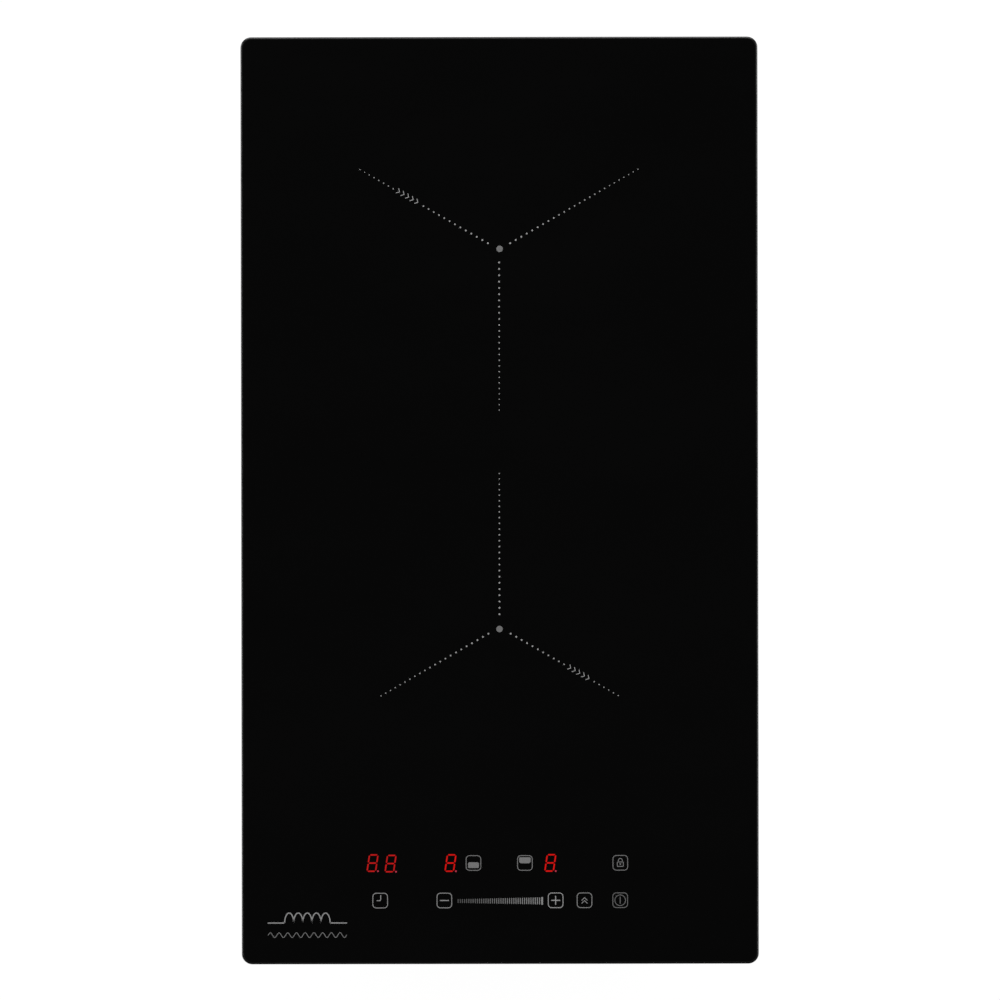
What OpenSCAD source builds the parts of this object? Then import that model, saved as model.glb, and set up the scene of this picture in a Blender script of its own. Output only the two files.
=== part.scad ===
// Built-in induction cooktop, 30 cm wide, with two cooking zones one behind the other.
// +X is right, +Y is towards the rear and +Z is up.
// z = 0 is the underside of the base tray, and the touch controls are at the front.

/* [Glass] */
// Width of the glass panel
glass_w = 290; // [270:1:360]
// Depth of the glass panel, front to rear
glass_d = 520; // [510:1:640]
// Thickness of the glass panel
glass_t = 4; // [3:0.1:6]
// Radius of the glass panel's corners
glass_corner_r = 6; // [3:0.5:12]
// Width and height of the bevel ground round the top of the glass
glass_bevel = 1.2; // [0.5:0.1:2]

/* [Seal] */
// Thickness of the foam seal between the glass and the worktop
seal_t = 2; // [1:0.1:4]
// Width of the foam seal
seal_w = 8; // [5:0.5:9]
// Distance from the glass edge to the seal
seal_inset = 0.6; // [0.2:0.1:2]

/* [Base tray] */
// Depth of the body under the worktop's surface
body_depth = 50; // [50:1:70]
// Overhang of the glass beyond the tray on the left and on the right
side_overhang = 12; // [11:0.5:16]
// Overhang of the glass beyond the tray at the front and at the rear
end_overhang = 14; // [13:0.5:18]
// Thickness of the tray's sheet metal
tray_t = 1; // [0.6:0.1:1.2]
// Outer radius of the tray's upright corners
tray_corner_r = 4; // [3:0.5:8]
// Outer radius of the bends between the tray's floor and its walls
tray_bend_r = 2; // [1.3:0.1:2.5]
// Gap between the top of the tray's walls and the glass
wall_gap = 1; // [0.5:0.1:3]

/* [Vents] */
// Width of a vent slot in the tray's walls
vent_w = 3; // [2:0.5:5]
// Height of a vent slot in the tray's walls
vent_h = 18; // [10:1:20]
// Distance between vent slots
vent_pitch = 8; // [6:0.5:12]
// Width of the slots under the blower
intake_slot_w = 4; // [3:0.5:5]
// Distance between the slots under the blower
intake_pitch = 7; // [6:0.5:10]

/* [Rails] */
// Width of the rails' top leg, which is bonded to the glass
rail_w = 12; // [8:0.5:14]
// Height of the rails
rail_h = 12; // [10:0.5:14]
// Thickness of the rails
rail_t = 1.5; // [1:0.1:2]
// Thickness of the silicone between the rails and the glass
silicone_t = 0.4; // [0.2:0.1:0.8]

/* [Fixing brackets] */
// Distance from the tray's side to the middle of a bracket
bracket_from_side = 38; // [30:1:45]
// Width of a bracket
bracket_w = 20; // [16:1:24]
// Length of a bracket's upright leg
bracket_leg = 26; // [24:0.5:30]
// Thickness of a bracket
bracket_t = 1.2; // [1:0.1:1.4]
// Inner radius of a bracket's bends
bracket_bend_r = 1; // [0.5:0.1:1.5]
// Reach of a bracket from the tray's wall
bracket_reach = 13; // [8:0.5:13.5]
// Height of a bracket's underside when it is at its lowest
bracket_low = 8; // [4:0.5:10]
// Upward travel of a bracket
bracket_travel = 14; // [6:0.5:14]
// Radius of a bracket screw's shank
bracket_screw_r = 1.95; // [1.5:0.05:2.2]
// Gap round the shank in the bracket's slot
bracket_slot_gap = 0.45; // [0.3:0.05:0.8]

/* [Terminal box] */
// Width of the terminal box
terminal_w = 70; // [64:1:72]
// Depth of the terminal box
terminal_d = 40; // [36:1:48]
// Height of the terminal box
terminal_h = 30; // [28:1:30]
// Wall of the terminal box
terminal_wall = 2; // [1.5:0.1:2.5]
// Inner width of the chamber where the mains cable enters
cable_chamber_w = 22; // [22:0.5:26]
// Radius of the hole in the cable grommet
cable_r = 5.5; // [4:0.1:6]
// Radius of the cover's hinge pins
hinge_pin_r = 1.5; // [1:0.05:1.6]
// Running gap round the cover's hinge pins
hinge_gap = 0.06; // [0.02:0.01:0.1]

/* [Blower] */
// Diameter of the blower's wheel
wheel_d = 72; // [60:1:84]
// Gap between the wheel and the narrow end of the scroll
wheel_gap = 6; // [4.5:0.5:8]
// Growth of the scroll's radius with each quarter turn
scroll_step = 5; // [3:0.5:7]
// Height of the blower
blower_h = 30; // [26:0.5:30]
// Wall of the blower's housing
blower_wall = 1.6; // [1:0.1:2.5]
// Number of blades on the wheel
blade_count = 32; // [16:1:40]
// Radius of the motor's shaft
shaft_r = 1.5; // [1:0.1:2.5]
// Running gap round the motor's shaft
shaft_gap = 0.06; // [0.02:0.01:0.1]

/* [Cooking zones] */
// Outer diameter of the rear coil's winding
rear_coil_d = 176; // [150:1:216]
// Outer diameter of the front coil's winding
front_coil_d = 156; // [130:1:190]
// Distance from the glass panel's rear edge to the rear coil's winding
rear_coil_margin = 30.9; // [26:0.1:37]
// Distance from the glass panel's front edge to the front coil's winding
front_coil_margin = 109.9; // [106:0.1:112]
// Inner diameter of both windings
coil_hole_d = 46; // [36:1:60]
// Height of the windings
winding_t = 4.2; // [3:0.1:5]
// Width taken by one turn of a winding
turn_pitch = 4; // [3:0.5:6]
// Thickness of the mica discs
mica_t = 0.5; // [0.3:0.1:1]
// Height of the coil carriers
carrier_h = 6; // [5:0.5:7]
// Number of ferrite bars under each coil
ferrite_count = 8; // [4:4:8]
// Width of a ferrite bar
ferrite_w = 14; // [8:1:16]
// Thickness of a ferrite bar
ferrite_t = 3.4; // [2:0.1:4]
// Thickness of the aluminium plate under the coils
plate_t = 1; // [0.8:0.1:2]
// Gap between the aluminium plate and the coil carriers
plate_gap = 6.3; // [5:0.1:8]

/* [Electronics] */
// Thickness of the circuit boards
board_t = 1.6; // [1:0.1:2]
// Height of the standoffs under the circuit boards
standoff_h = 6; // [4:0.5:6]
// Width of the heat sink's fins, all together
heat_sink_w = 64; // [48:1:70]
// Length of the heat sink
heat_sink_l = 170; // [120:1:180]
// Height of the heat sink
heat_sink_h = 22; // [16:0.5:22]
// Number of fins
fin_count = 11; // [6:1:13]
// Radius of a coil lead
lead_r = 1.4; // [1:0.1:1.6]

/* [Touch controls] */
// Width of the holder of the control board
control_w = 184; // [176:1:200]
// Depth of the holder of the control board
control_d = 50; // [46:1:54]
// Distance from the glass panel's front edge to the front of the holder
control_from_front = 28; // [28:0.5:32]
// Distance from the glass panel's front edge to the upper row of keys
upper_keys_from_front = 56.7; // [54:0.1:60]
// Distance from the glass panel's front edge to the lower row of keys
lower_keys_from_front = 35.7; // [35:0.1:40]
// Outer radius of a touch spring
touch_spring_r = 4; // [3:0.1:5]

/* [Hidden] */
$fn = 48;

// Levels, from the bottom up
seat_z = body_depth;
glass_z = seat_z + seal_t;
wall_top_z = glass_z - wall_gap;
board_z = tray_t + standoff_h;
board_top_z = board_z + board_t;
winding_z = glass_z - mica_t - winding_t;
carrier_z = winding_z - carrier_h;
plate_top_z = carrier_z - plate_gap;
plate_z = plate_top_z - plate_t;
rail_top_z = glass_z - silicone_t;

// The tray's outside and inside
tray_w = glass_w - 2 * side_overhang;
tray_d = glass_d - 2 * end_overhang;
in_x = tray_w / 2 - tray_t;
in_y = tray_d / 2 - tray_t;
in_corner_r = tray_corner_r - tray_t;

// Lengths of the rails: the side rails pass the end rails' corners
side_rail_l = 2 * (in_y - in_corner_r - 1);
end_rail_l = 2 * (in_x - rail_w - 1);

// Stiffening beads pressed up into the tray's floor
bead_l = 170;
bead_w = 14;
bead_h = 1.2;
bead_ys = [-130, -50, 30];

// Screws through the tray's walls
side_screw_r = 1.45;
side_head_r = 3.2;
side_head_h = 1.6;
side_screw_l = 6;
screw_gap = 0.15;
rail_screw_z = glass_z - 8;
rail_screw_ys = [for (s = [-1, 1], f = [0.28, 0.82]) s * f * in_y];
rail_screw_xs = [-50, 50];
tab_h = 10;
tab_l = 20;
tab_screw_z = plate_z - tab_h / 2;
tab_ys = [-in_y + 75, 0, in_y - 85];

// Fixing brackets
bracket_x = tray_w / 2 - bracket_from_side;
bracket_edge = 4.5;
bracket_screw_z = bracket_low + bracket_leg - bracket_edge;
bracket_head_r = 4;
bracket_head_h = 1.5;
bracket_lip = 2;
nut_l = 6;
nut_r = 3.5;
BRACKETS = [[-1, -1], [1, -1], [-1, 1], [1, 1]];

// Vent slots: height of their middle, how far their rows stay from the brackets, and the side rows
vent_z = 8 + vent_h / 2;
front_vents = floor((bracket_x - bracket_w / 2 - 10) / vent_pitch);
rear_vents = floor((bracket_x - bracket_w / 2 - 14) / vent_pitch);
side_vents = 9;
side_vent_y = -in_y + 95;

// Terminal box
terminal_z = 3;
terminal_x1 = bracket_x - bracket_w / 2 - 3;
terminal_x0 = terminal_x1 - terminal_w;
terminal_y1 = tray_d / 2;
terminal_y0 = terminal_y1 - terminal_d;
partition_x = terminal_x0 + terminal_wall + cable_chamber_w;
chamber_x0 = partition_x + terminal_wall;
chamber_x1 = terminal_x1 - terminal_wall;
chamber_z0 = terminal_z + terminal_wall;
chamber_z1 = terminal_z + terminal_h - terminal_wall;
window_gap = 0.3;
flange = 3;
flange_t = 2;
stop_w = 1.5;
stop_t = 3;
catch_w = 8;
catch_l = 6;
catch_t = 1.4;
grommet_sleeve_r = 8;
grommet_flange_r = 10;
grommet_flange_t = 1.5;
entry_plate_t = 3;
entry_x = terminal_x0 + terminal_wall + cable_chamber_w / 2;
entry_z = terminal_z + terminal_h / 2;
cover_t = 2;
cover_gap = 0.4;
knuckle_r = 2;
hinge_y = terminal_y1 - knuckle_r;
hinge_z = chamber_z0 + knuckle_r + 0.5;
pin_l = 1.5;
poles = 4;
pole_pitch = 9;
block_w = poles * pole_pitch;
block_d = 14;
block_h = 15;
block_screw_z = chamber_z0 + block_h - 5;
block_screw_r = 1.4;
block_x0 = (chamber_x0 + chamber_x1 - block_w) / 2;
block_y0 = terminal_y0 + 6;
wire_z = chamber_z0 + 6;
wire_r = 1.2;

// Blower
scroll_a = wheel_d / 2 + wheel_gap;
blower_x = -in_x + 26 + scroll_a + scroll_step / 2;
blower_y = in_y - 24 - scroll_a - 1.5 * scroll_step;
blower_right = blower_x + scroll_a + 2.5 * scroll_step;
blower_front = blower_y + scroll_step / 2 - scroll_a;
outlet_l = 16;
outlet_y = blower_front - outlet_l;
outlet_x = blower_x + 20;
blower_z = tray_t;
cover_z = blower_z + blower_h - blower_wall;
inlet_r = 0.72 * wheel_d / 2;
wheel_r = wheel_d / 2;
wheel_z = blower_z + 4;
wheel_top_z = cover_z - 3.4;
hub_r = 16;
hub_wall = 1.2;
hub_z = wheel_z + 7;
stator_r = 12;

// Power board
board_gap = 10;
board_x = in_x - board_gap;
board_y0 = -in_y + 60;
board_y1 = outlet_y - 10;
hole_in = 6;
heat_sink_x = (outlet_x + blower_right) / 2 - heat_sink_w / 2;
heat_sink_y1 = board_y1 - 4;
heat_sink_base = 4;
lip_w = 16;
device_screw_in = 12;
device_h = 5;
lip_x = heat_sink_x + heat_sink_w;
device_ys = [for (f = [16, 42, 108, 134]) heat_sink_y1 - f];
bridge_y = heat_sink_y1 - 75;
fin_t = 1.8;

// Filter board
filter_x0 = blower_right + 18;
filter_y0 = board_y1 + 10;
filter_y1 = terminal_y0 - 8;

POWER_HOLES = [
    for (x = [-1, 1], y = [board_y0 + hole_in, (board_y0 + board_y1) / 2, board_y1 - hole_in])
        [x * (board_x - hole_in), y]
];
FILTER_HOLES = [
    for (x = [filter_x0 + hole_in, board_x - hole_in], y = [filter_y0 + hole_in, filter_y1 - hole_in])
        [x, y]
];
// Each arc of the scroll: the signs of its centre's offset, its growth, and where its screw post stands
SCROLL_ARCS = [[-1, 1, 0, 225], [1, 1, 1, 135], [1, -1, 2, 45]];
blower_post_r = 3.6;
BLOWER_HOLES = [for (q = SCROLL_ARCS)
    let (r = scroll_a + q[2] * scroll_step + 2.4)
    [blower_x + q.x * scroll_step / 2 + r * cos(q[3]), blower_y + q.y * scroll_step / 2 + r * sin(q[3])]];
small_screw_r = 1.2;
small_head_r = 2.8;
small_head_h = 1.8;

// Coils: centre, outer radius, and the direction in which the leads leave
rear_zone_y = glass_d / 2 - rear_coil_margin - rear_coil_d / 2;
front_zone_y = -glass_d / 2 + front_coil_margin + front_coil_d / 2;
REAR = [rear_zone_y, rear_coil_d / 2, -45];
FRONT = [front_zone_y, front_coil_d / 2, 45];
coil_hole_r = coil_hole_d / 2;
carrier_t = 2;
rib_t = 1.2;
sensor_r = 5;
spring_r = 4;
spring_seat_r = 60;
spring_wire = 0.8;
lead_run_z = plate_top_z + 3;
exit_past = 5;
lead_spread = 6;
inner_lead_r = coil_hole_r + 5;
outer_lead_in = 4;
sensor_lead_r = 0.7;
post_in = 14;
post_x = exit_point(REAR).x - post_in;
post_pitch = 8;
post_h = 9;
post_z = board_top_z + post_h;

// Touch controls
control_y0 = -glass_d / 2 + control_from_front;
control_floor_z = plate_top_z + 5;
control_wall = 1.5;
control_board_z = glass_z - 7.6;
control_top_z = control_board_z + board_t;
upper_y = -glass_d / 2 + upper_keys_from_front;
lower_y = -glass_d / 2 + lower_keys_from_front;
UPPER_KEYS = [-14.7, 14.2, 67.7];
LOWER_KEYS = [-67, -31, -15, 0, 15, 31.4, 47.6, 67.6];
touch_wire = 0.7;
digit_h = 12.6;
DISPLAYS = [[-66.2, 20], [-27.4, 10], [28.8, 10]];
CONTROL_SPRINGS = [for (x = [-1, 1], y = [8, control_d - 8]) [x * (control_w / 2 - 10), control_y0 + y]];
ribbon_w = 30;
ribbon_t = 1;
ribbon_y = control_y0 + control_d + 5;
ribbon_bend = 2;
header_y = ribbon_y + 10;
header_h = 9;

// A rectangle with round corners, centred
module round_rect(w, d, r) {
    square([w - 2 * r, d], center = true);
    square([w, d - 2 * r], center = true);
    for (x = [-1, 1], y = [-1, 1])
        translate([x * (w / 2 - r), y * (d / 2 - r)]) circle(r);
}

// A slot with round ends along X, l long from end to end
module capsule(l, w) {
    square([l - w, w], center = true);
    for (x = [-1, 1]) translate([x * (l - w) / 2, 0]) circle(w / 2);
}

// A quarter of a ring, from the angle a onwards
module quarter(r, t, a) {
    rotate(a) intersection() {
        difference() {
            circle(r + t);
            circle(r);
        }
        square(r + t);
    }
}

// A box between two corners
module block(a, b) {
    translate(a) cube(b - a);
}

// A ring or disc on the z axis
module ring(r_out, r_in, h) {
    difference() {
        cylinder(h = h, r = r_out);
        if (r_in > 0) translate([0, 0, -1]) cylinder(h = h + 2, r = r_in);
    }
}

// A screw whose head rests on z = 0 and whose shank points down
module screw(head_r, head_h, shank_r, shank_l) {
    difference() {
        union() {
            cylinder(h = head_h * 0.6, r = head_r);
            translate([0, 0, head_h * 0.6]) cylinder(h = head_h * 0.4, r1 = head_r, r2 = head_r * 0.8);
            translate([0, 0, -shank_l]) cylinder(h = shank_l + 0.2, r = shank_r);
        }
        for (a = [0, 90])
            rotate(a) translate([-head_r * 0.55, -head_r * 0.1, head_h * 0.35])
                cube([head_r * 1.1, head_r * 0.2, head_h]);
    }
}

// Turns +Z outwards to the side wall (s = -1 left, 1 right), at its outer face
module on_side(s, y, z) {
    translate([s * tray_w / 2, y, z]) rotate([0, s * 90, 0]) children();
}

// Turns +Z outwards to the end wall (s = -1 front, 1 rear), at its outer face
module on_end(s, x, z) {
    translate([x, s * tray_d / 2, z]) rotate([-s * 90, 0, 0]) children();
}

// Every place where a side screw goes
module at_side_screws() {
    for (s = [-1, 1]) {
        for (y = rail_screw_ys) on_side(s, y, rail_screw_z) children();
        for (y = tab_ys) on_side(s, y, tab_screw_z) children();
        for (x = rail_screw_xs) on_end(s, x, rail_screw_z) children();
    }
}

function unit(v) = v / norm(v);

// The direction of the path p at its point number i, and a direction square to t
function tangent(p, i) =
    unit(p[min(i + 1, len(p) - 1)] - p[max(i - 1, 0)]);
function side_of(t) = unit(cross(t, abs(t.z) > 0.9 ? [0, 1, 0] : [0, 0, 1]));

// A path through the points p that is straight at both ends and smooth between, in n steps a point
function route(p, n) =
    concat([p[0]], spline([for (i = [1 : len(p) - 2]) p[i]], n), [p[len(p) - 1]]);

// A smooth path through the points p, with n steps between each two
function spline(p, n) = [
    for (i = [0 : len(p) - 2], j = [0 : i == len(p) - 2 ? n : n - 1])
        let (u = j / n, a = p[max(i - 1, 0)], b = p[i], c = p[i + 1], d = p[min(i + 2, len(p) - 1)])
        0.5 * (2 * b + u * (c - a) + u * u * (2 * a - 5 * b + 4 * c - d)
            + u * u * u * (3 * b - a - 3 * c + d))
];

// A round tube of radius r along the path p, with flat ends
module tube(p, r, sides = 8) {
    n = len(p);
    // One direction across the whole path keeps the rings from twisting
    across = side_of(unit(p[n - 1] - p[0]));
    points = [
        for (i = [0 : n - 1], k = [0 : sides - 1])
            let (t = tangent(p, i), u = unit(across - (across * t) * t), v = cross(t, u), a = 360 * k / sides)
            p[i] + r * (cos(a) * u + sin(a) * v)
    ];
    polyhedron(points, concat(
        [[for (k = [0 : sides - 1]) k]],
        [[for (k = [sides - 1 : -1 : 0]) (n - 1) * sides + k]],
        [for (i = [0 : n - 2], k = [0 : sides - 1]) let (m = (k + 1) % sides)
            [i * sides + k, (i + 1) * sides + k, (i + 1) * sides + m, i * sides + m]]
    ));
}

// The glass: a slab with round corners and a bevel round its top
module glass_panel() {
    w = glass_w / 2;
    d = glass_d / 2;
    r = glass_corner_r;
    step = glass_t - glass_bevel;
    color("#0a0a0b") translate([0, 0, glass_z]) union() {
        rotate([90, 0, 0]) linear_extrude(glass_d - 2 * r, center = true)
            polygon([[-w, 0], [w, 0], [w, step], [w - glass_bevel, glass_t],
                [-w + glass_bevel, glass_t], [-w, step]]);
        rotate([90, 0, 90]) linear_extrude(glass_w - 2 * r, center = true)
            polygon([[-d, 0], [d, 0], [d, step], [d - glass_bevel, glass_t],
                [-d + glass_bevel, glass_t], [-d, step]]);
        for (x = [-1, 1], y = [-1, 1]) translate([x * (w - r), y * (d - r), 0])
            rotate_extrude() polygon([[0, 0], [r, 0], [r, step], [r - glass_bevel, glass_t], [0, glass_t]]);
    }
}

// The foam seal that the worktop's edge carries
module edge_seal() {
    w = glass_w - 2 * seal_inset;
    d = glass_d - 2 * seal_inset;
    color("#2b2b2d") translate([0, 0, seat_z]) linear_extrude(seal_t) difference() {
        round_rect(w, d, glass_corner_r);
        square([w - 2 * seal_w, d - 2 * seal_w], center = true);
    }
}

// Silicone beads between the rails and the glass
module silicone_beads() {
    bead = rail_w - 2;
    color("#3c3c3e") translate([0, 0, rail_top_z]) {
        for (s = [-1, 1]) {
            translate([s * (in_x - rail_w / 2), 0, 0]) linear_extrude(silicone_t)
                rotate(90) capsule(side_rail_l - 4, bead);
            translate([0, s * (in_y - rail_w / 2), 0]) linear_extrude(silicone_t)
                capsule(end_rail_l - 4, bead);
        }
    }
}

// An L-shaped rail along Y, with its upright leg on x = 0 and its top leg towards -X
module rail(l) {
    translate([-rail_t, -l / 2, rail_top_z - rail_h]) cube([rail_t, l, rail_h]);
    translate([-rail_w, -l / 2, rail_top_z - rail_t]) cube([rail_w, l, rail_t]);
}

module side_rail(s) {
    color("#b9bcbf") difference() {
        translate([s * in_x, 0, 0]) mirror([s < 0 ? 1 : 0, 0, 0]) rail(side_rail_l);
        for (y = rail_screw_ys) on_side(s, y, rail_screw_z)
            translate([0, 0, -side_screw_l]) cylinder(h = side_screw_l, r = side_screw_r + 0.05);
    }
}

module end_rail(s) {
    color("#b9bcbf") difference() {
        translate([0, s * in_y, 0]) rotate(s * 90) rail(end_rail_l);
        for (x = rail_screw_xs) on_end(s, x, rail_screw_z)
            translate([0, 0, -side_screw_l]) cylinder(h = side_screw_l, r = side_screw_r + 0.05);
    }
}

module left_rail() { side_rail(-1); }
module right_rail() { side_rail(1); }
module front_rail() { end_rail(-1); }
module rear_rail() { end_rail(1); }

// Pressed ridges on both sides of a bracket, which keep it upright
module bracket_guides(sx, sy) {
    guide_l = wall_top_z - bracket_low - 10;
    for (side = [-1, 1])
        translate([sx * bracket_x + side * (bracket_w / 2 + 1.3), sy * (tray_d / 2 + 0.4), bracket_low + 4])
            translate([-1, -0.5, 0]) cube([2, 1, guide_l]);
}

// What a tub with bent lower edges looks like from one side
module tub_side(w, bend, h) {
    translate([-w / 2, bend]) square([w, h - bend]);
    translate([-w / 2 + bend, 0]) square([w - 2 * bend, h]);
    for (x = [-1, 1]) translate([x * (w / 2 - bend), bend]) circle(bend);
}

// A solid tub: round upright corners of radius r, and lower edges rounded by the bend
module tub(w, d, r, bend, h) {
    rotate([90, 0, 0]) linear_extrude(d - 2 * r, center = true) tub_side(w, bend, h);
    rotate([90, 0, 90]) linear_extrude(w - 2 * r, center = true) tub_side(d, bend, h);
    for (a = [0 : 3]) {
        sx = a == 0 || a == 3 ? 1 : -1;
        sy = a < 2 ? 1 : -1;
        translate([sx * (w / 2 - r), sy * (d / 2 - r), 0]) rotate(90 * a)
            rotate_extrude(angle = 90) intersection() {
                tub_side(2 * r, bend, h);
                square([r, h]);
            }
    }
}

// Rows of upright vent slots through the walls
module wall_vents() {
    for (i = [-front_vents : front_vents]) on_end(-1, i * vent_pitch, vent_z)
        translate([0, 0, -5]) linear_extrude(10) rotate(90) capsule(vent_h, vent_w);
    for (i = [1 : rear_vents]) on_end(1, -6 - i * vent_pitch, vent_z)
        translate([0, 0, -5]) linear_extrude(10) rotate(90) capsule(vent_h, vent_w);
    for (s = [-1, 1], i = [0 : side_vents - 1]) on_side(s, side_vent_y + i * vent_pitch, vent_z)
        translate([0, 0, -5]) linear_extrude(10) capsule(vent_h, vent_w);
}

// Slots in the floor under the blower's inlet
module intake_slots() {
    n = floor((inlet_r - 3) / intake_pitch);
    for (i = [-n : n]) {
        half = sqrt(pow(inlet_r, 2) - pow(i * intake_pitch, 2));
        translate([blower_x, blower_y + i * intake_pitch, -1])
            linear_extrude(tray_t + 2) capsule(2 * half, intake_slot_w);
    }
}

module base_tray() {
    color("#a9adb0") difference() {
        union() {
            difference() {
                tub(tray_w, tray_d, tray_corner_r, tray_bend_r, wall_top_z);
                translate([0, 0, tray_t])
                    tub(2 * in_x, 2 * in_y, in_corner_r, tray_bend_r - tray_t, wall_top_z);
            }
            for (y = bead_ys) translate([0, y, tray_t / 2])
                linear_extrude(tray_t / 2 + bead_h) capsule(bead_l, bead_w);
            for (b = BRACKETS) bracket_guides(b.x, b.y);
        }
        for (y = bead_ys) translate([0, y, -1])
            linear_extrude(1 + bead_h) capsule(bead_l - 2 * tray_t, bead_w - 2 * tray_t);
        wall_vents();
        intake_slots();
        at_side_screws() translate([0, 0, -3]) cylinder(h = 6, r = side_screw_r + screw_gap);
        for (b = BRACKETS) on_end(b.y, b.x * bracket_x, bracket_screw_z)
            translate([0, 0, -3]) cylinder(h = 6, r = bracket_screw_r + screw_gap);
        block([terminal_x0 - window_gap, terminal_y1 - tray_t - 1, terminal_z - window_gap],
            [terminal_x1 + window_gap, terminal_y1 + 1, terminal_z + terminal_h + window_gap]);
    }
}

module side_screws() {
    color("#c4c7c9") at_side_screws()
        screw(side_head_r, side_head_h, side_screw_r, side_screw_l);
}

// A bracket's bent strip seen from its end: leg, foot and lip
module bracket_strip() {
    t = bracket_t;
    b = bracket_bend_r;
    translate([0, b + t]) square([t, bracket_leg - b - t]);
    translate([b + t, b + t]) quarter(b, t, 180);
    translate([b + t, 0]) square([bracket_reach - 2 * (b + t), t]);
    translate([bracket_reach - b - t, b + t]) quarter(b, t, 270);
    translate([bracket_reach - t, b + t]) square([t, t + bracket_lip - b - t]);
}

// A bracket on the rear wall at x = 0, which takes hold of the worktop from below
module bracket() {
    slot_mid = bracket_screw_z - bracket_travel / 2;
    slot_w = 2 * (bracket_screw_r + bracket_slot_gap);
    y0 = tray_d / 2;
    inset = bracket_t / 2;
    web_h = 6;
    difference() {
        union() {
            translate([0, y0, bracket_low]) rotate([90, 0, 90])
                linear_extrude(bracket_w, center = true) bracket_strip();
            for (s = [-1, 1]) translate([s * (bracket_w - bracket_t) / 2, y0, bracket_low])
                rotate([90, 0, 90]) linear_extrude(bracket_t, center = true)
                    polygon([[inset, inset + bracket_bend_r], [inset + bracket_bend_r, inset],
                        [bracket_reach - 2 * bracket_t, inset], [bracket_t, web_h], [inset, web_h]]);
        }
        translate([0, y0 - 1, slot_mid]) rotate([-90, 0, 0]) linear_extrude(bracket_t + 2)
            rotate(90) capsule(bracket_travel + slot_w, slot_w);
    }
}

// The bracket at one corner: sx = -1 left or 1 right, sy = -1 front or 1 rear
module corner_bracket(sx, sy) {
    color("#c9ccce") translate([sx * bracket_x, 0, 0]) mirror([0, sy < 0 ? 1 : 0, 0]) bracket();
}

module front_left_bracket() { corner_bracket(-1, -1); }
module front_right_bracket() { corner_bracket(1, -1); }
module rear_left_bracket() { corner_bracket(-1, 1); }
module rear_right_bracket() { corner_bracket(1, 1); }

module bracket_screws() {
    color("#d0d3d5") for (b = BRACKETS)
        on_end(b.y, b.x * bracket_x, bracket_screw_z) translate([0, 0, bracket_t])
            screw(bracket_head_r, bracket_head_h, bracket_screw_r, bracket_t + tray_t + nut_l);
}

module bracket_nuts() {
    color("#c0a860") for (b = BRACKETS)
        on_end(b.y, b.x * bracket_x, bracket_screw_z) translate([0, 0, -tray_t - nut_l]) difference() {
            union() {
                cylinder(h = nut_l, r = nut_r);
                translate([0, 0, nut_l - 1]) cylinder(h = 1, r = nut_r + 1);
            }
            translate([0, 0, -1]) cylinder(h = nut_l + 2, r = bracket_screw_r + 0.05);
        }
}

// The terminal box: a cable chamber on the left and a wiring chamber on the right, open to the rear
module terminal_box() {
    color("#1d1d1f") difference() {
        union() {
            block([terminal_x0, terminal_y0, terminal_z],
                [terminal_x1, terminal_y1, terminal_z + terminal_h]);
            block([terminal_x0 - flange, in_y - flange_t, tray_bend_r],
                [terminal_x1 + flange, in_y, terminal_z + terminal_h + 0.5]);
        }
        block([terminal_x0 + terminal_wall, terminal_y0 + terminal_wall, chamber_z0],
            [partition_x, terminal_y1 - entry_plate_t, chamber_z1]);
        block([chamber_x0, terminal_y0 + terminal_wall, chamber_z0],
            [chamber_x1, terminal_y1 + 1, chamber_z1]);
        // The mains wires cross through the partition, and leave through the front wall
        block([partition_x - 1, block_y0 + 3, chamber_z0 + 4],
            [chamber_x0 + 1, block_y0 + block_d + 4, chamber_z1 - 6]);
        block([block_x0 + 1, terminal_y0 - 1, chamber_z0 + 1],
            [block_x0 + block_w - 1, terminal_y0 + terminal_wall + 1, wire_z + 4]);
        translate([entry_x, terminal_y1 - entry_plate_t - 1, entry_z]) rotate([-90, 0, 0])
            cylinder(h = entry_plate_t + 2, r = grommet_sleeve_r + 0.1);
        for (x = [partition_x + 0.3, chamber_x1 - 0.1]) translate([x, hinge_y, hinge_z])
            rotate([0, 90, 0]) cylinder(h = terminal_wall - 0.2, r = hinge_pin_r + hinge_gap);
    }
    // Stops that the closed cover rests on
    color("#1d1d1f") for (x = [chamber_x0, chamber_x1 - stop_w])
        block([x, terminal_y1 - cover_t - stop_t, hinge_z + 4 * knuckle_r],
            [x + stop_w, terminal_y1 - cover_t, chamber_z1]);
}

// The hinged cover over the wiring chamber, with its pins, ribs and catch
module terminal_cover() {
    x0 = chamber_x0 + cover_gap;
    x1 = chamber_x1 - cover_gap;
    middle = (x0 + x1) / 2;
    color("#232325") difference() {
        union() {
            translate([x0, hinge_y, hinge_z]) rotate([0, 90, 0]) cylinder(h = x1 - x0, r = knuckle_r);
            block([x0, terminal_y1 - cover_t, hinge_z], [x1, terminal_y1, chamber_z1 - cover_gap]);
            translate([x0 - pin_l, hinge_y, hinge_z]) rotate([0, 90, 0])
                cylinder(h = x1 - x0 + 2 * pin_l, r = hinge_pin_r);
            block([middle - catch_w / 2, terminal_y1 - 1 - catch_l, chamber_z1 - 1.2 - catch_t],
                [middle + catch_w / 2, terminal_y1 - 1, chamber_z1 - 1.2]);
        }
        // A notch for the blade that levers the cover open
        block([middle - catch_w / 2, terminal_y1 - 0.8, chamber_z1 - 3],
            [middle + catch_w / 2, terminal_y1 + 1, chamber_z1]);
    }
}

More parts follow.
